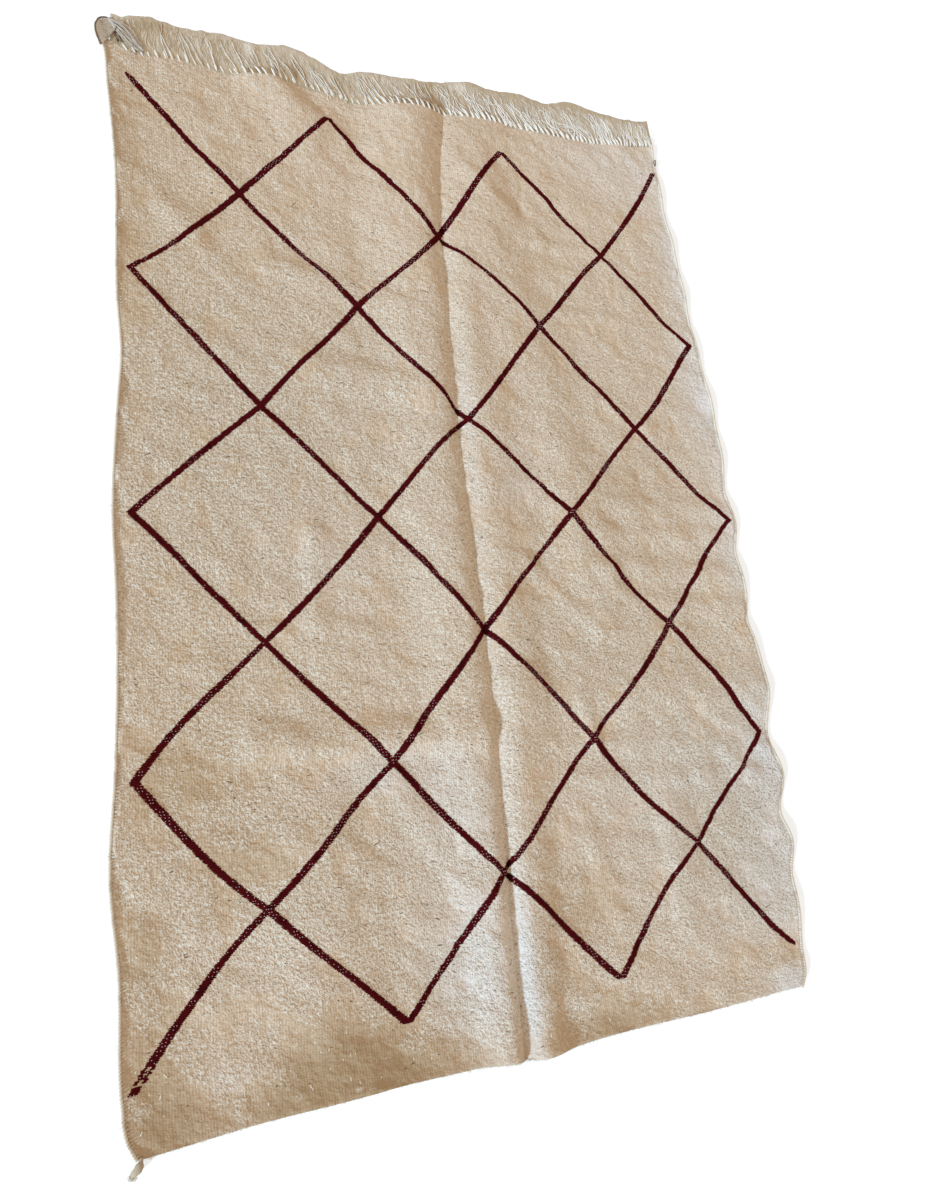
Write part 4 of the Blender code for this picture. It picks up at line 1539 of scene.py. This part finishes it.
def frayed_shape(rng):
    """The frayed bundle beside the ear: ends between two curves, each keeping its
    share of the way between them with a little wander, and fine hair that puffs
    out near their tips."""
    u = shares(STRAND_POINTS)
    each = (FRAYED_COUNT, 1)
    share = rng.uniform(0, 1, each) + 0.10 * np.sin(5 * u + rng.uniform(0, 6, each))
    x, y = (
        inner + (outer - inner) * share + rng.normal(0, 0.0005, share.shape)
        for inner, outer in zip(bends(FRAYED_INNER, u), bends(FRAYED_OUTER, u))
    )
    z = FRAYED_HEIGHT + rng.uniform(0, 0.003, each) + 0.003 * np.sin(math.pi * u)
    paths = on_mat(xyz(x, y, z), FRAYED_CLEAR)
    radius = tapered(rng.uniform(0.0006, 0.0011, each), 0.7)
    start = paths[:, -3] + rng.normal(0, MM, (FRAYED_COUNT, 3))
    heading = np.radians(FRAYED_HEADING) + rng.normal(0, 0.8, FRAYED_COUNT)
    length = rng.uniform(0.008, 0.022, FRAYED_COUNT)
    puff = above_cloth(loose_strands(start, heading, length, rng, PUFF_POINTS, curl=PUFF_CURL), MM)
    return joined(tubes(paths, radius, 5), tubes(puff, tapered(PUFF_RADIUS, 0.6, PUFF_POINTS), 4))


class RUG_OT_corner_ear(bpy.types.Operator):
    """Makes the looped ear at the upper left corner, its dark thread and its frayed bundle"""

    bl_idname = "rug.corner_ear"
    bl_label = "Corner ear"

    def execute(self, context):
        rng = np.random.default_rng(71)
        loops = ear_loops()
        loops[..., :2] += rng.normal(0, 0.0004, loops[..., :2].shape)
        wool = yarn_material("ear_wool", (0.58, 0.48, 0.35), (0.84, 0.77, 0.66), (0.30, 0.23, 0.16), 1500.0)
        add_piece("corner_ear", tubes(loops, EAR_YARN, 7, squash=0.5), wool, "fringe_yarn", ["corner_tab"])
        purple = yarn_material(
            "binding_thread", (0.085, 0.035, 0.050), (0.16, 0.08, 0.10), (0.02, 0.01, 0.012)
        )
        add_piece("ear_thread", thread_shape(), purple, "lattice_yarn")
        grey = yarn_material("frayed_wool", (0.66, 0.58, 0.47), (0.92, 0.89, 0.84), (0.45, 0.37, 0.28))
        add_piece("frayed_bundle", frayed_shape(rng), grey, "fringe_yarn")
        return {"FINISHED"}


def tail_shape(rng):
    """The knotted tail: a twisted cord that swells to its knot and sinks from the
    cloth's corner to the floor as a square, with wisps out of its tip."""
    corner_x, corner_y = lie(np.array(0.0), np.array(0.0))
    share = shares(TAIL_RINGS)
    radius = column_at(TAIL, "radius", share)
    rest = lift(corner_x, corner_y) * (1 - share**2)
    x = corner_x + 0.004 - 0.014 * share**2
    path = xyz(x, corner_y + 0.003 - (TAIL_LENGTH + 0.0038) * share, rest + radius)
    angle = around(TAIL_SIDES)
    twist = 1 + 0.10 * np.cos(4 * angle + 14 * share[:, None])
    knot = tubes(path[None], (radius[:, None] * twist)[None], TAIL_SIDES)
    start = path[-1] + rng.normal(0, 1, (TAIL_WISPS, 3)) * [0.0022, 0.001, 0.0015]
    heading = np.radians(TAIL_HEADING) + rng.normal(0, 0.5, TAIL_WISPS)
    length = rng.uniform(0.006, 0.014, TAIL_WISPS)
    paths = loose_strands(start, heading, length, rng, WISP_POINTS, rise=MM)
    paths[..., 2] = np.maximum(paths[..., 2], WISP_LEAST)
    return joined(knot, tubes(paths, tapered(WISP_RADIUS, 0.5, WISP_POINTS), 4))


class RUG_OT_corner_tail(bpy.types.Operator):
    """Makes the knotted tail at the lower left corner, with the wisps at its tip"""

    bl_idname = "rug.corner_tail"
    bl_label = "Corner tail"

    def execute(self, context):
        colours = context.scene.kilim_colours
        rng = np.random.default_rng(81)
        wool = yarn_material("tail_wool", (0.47, 0.37, 0.25), (0.70, 0.62, 0.50), colours.tan)
        add_piece("corner_tail", tail_shape(rng), wool, "fringe_yarn", ["corner_tassel"])
        return {"FINISHED"}


# Places in metres, turns and the sun's width and height in degrees, the lens and
# the sensor in millimetres.
CAMERA_PLACE = (-0.903, -0.642, 1.903)
CAMERA_TURN = (16.66, -23.84, -6.54)
LENS = 34.1
SENSOR = 36.0
SHIFT_UP = -0.0484
FLOOR_GLOW = 0.45
SUN_STRENGTH = 3.15
SUN_WIDTH = 6
SUN_HEIGHT = 20
SUN_SIDE = (-0.87, -0.50, 0.0)
SUN_COLOUR = (0.50, 0.74, 1.0)
FLOOR_GLOW_COLOUR = (0.80, 0.91, 1.0, 1)
ROOM_COLOUR = (0.64, 0.55, 0.46, 1)
ROOM_STRENGTH = 0.95


class RUG_OT_stage(bpy.types.Operator):
    """Makes the pale floor, the soft lights and the camera"""

    bl_idname = "rug.stage"
    bl_label = "Stage"

    def execute(self, context):
        half = context.scene.kilim_sizes.floor_size / 2
        mesh = bpy.data.meshes.new("floor")
        corners = [(-half, -half, 0), (half, -half, 0), (half, half, 0), (-half, half, 0)]
        mesh.from_pydata(corners, [], [(0, 1, 2, 3)])
        floor = bpy.data.objects.new("floor", mesh)
        context.scene.collection.objects.link(floor)
        pale = Shading("floor_paint")
        pale.colour(context.scene.kilim_colours.floor)
        pale.surface.inputs["Emission Color"].default_value = FLOOR_GLOW_COLOUR
        pale.surface.inputs["Emission Strength"].default_value = FLOOR_GLOW
        mesh.materials.append(pale.material)
        sun = bpy.data.lights.new("window_light", "SUN")
        settle(sun, energy=SUN_STRENGTH, color=SUN_COLOUR, angle=math.radians(SUN_WIDTH))
        lamp = bpy.data.objects.new("window_light", sun)
        towards = Vector(SUN_SIDE).normalized()
        towards.z = math.tan(math.radians(SUN_HEIGHT))
        lamp.rotation_euler = towards.to_track_quat("Z", "Y").to_euler()
        context.scene.collection.objects.link(lamp)
        world = bpy.data.worlds.new("room")
        world.use_nodes = True
        light = world.node_tree.nodes["Background"].inputs
        light["Color"].default_value = ROOM_COLOUR
        light["Strength"].default_value = ROOM_STRENGTH
        context.scene.world = world
        context.scene.view_settings.view_transform = "Standard"
        lens = bpy.data.cameras.new("camera")
        settle(lens, sensor_fit="HORIZONTAL", sensor_width=SENSOR, lens=LENS, shift_y=SHIFT_UP)
        camera = bpy.data.objects.new("camera", lens)
        camera.location = CAMERA_PLACE
        camera.rotation_euler = [math.radians(angle) for angle in CAMERA_TURN]
        context.scene.collection.objects.link(camera)
        context.scene.camera = camera
        return {"FINISHED"}


class RUG_PT_sidebar(bpy.types.Panel):
    """The rug's sizes, colours and operators"""

    bl_idname = "RUG_PT_sidebar"
    bl_label = "Kilim Rug"
    bl_space_type = "VIEW_3D"
    bl_region_type = "UI"
    bl_category = "Rug"

    def draw(self, context):
        for settings in (context.scene.kilim_sizes, context.scene.kilim_colours):
            for name in settings.__annotations__:
                self.layout.prop(settings, name)
        for operator in OPERATORS:
            self.layout.operator(operator.bl_idname)


OPERATORS = (
    RUG_OT_stage, RUG_OT_weave, RUG_OT_lattice, RUG_OT_loose_wool, RUG_OT_selvedges,
    RUG_OT_fringe, RUG_OT_corner_ear, RUG_OT_corner_tail,
)
CLASSES = (KilimSizes, KilimColours, *OPERATORS, RUG_PT_sidebar)


def register():
    for item in CLASSES:
        bpy.utils.register_class(item)
    bpy.types.Scene.kilim_sizes = bpy.props.PointerProperty(type=KilimSizes)
    bpy.types.Scene.kilim_colours = bpy.props.PointerProperty(type=KilimColours)


def unregister():
    del bpy.types.Scene.kilim_colours
    del bpy.types.Scene.kilim_sizes
    for item in reversed(CLASSES):
        bpy.utils.unregister_class(item)


def main():
    """Makes every piece in order."""
    register()
    bpy.ops.rug.stage()
    bpy.ops.rug.weave()
    bpy.ops.rug.lattice()
    bpy.ops.rug.loose_wool()
    bpy.ops.rug.selvedges()
    bpy.ops.rug.fringe()
    bpy.ops.rug.corner_ear()
    bpy.ops.rug.corner_tail()


if __name__ == "__main__":
    main()
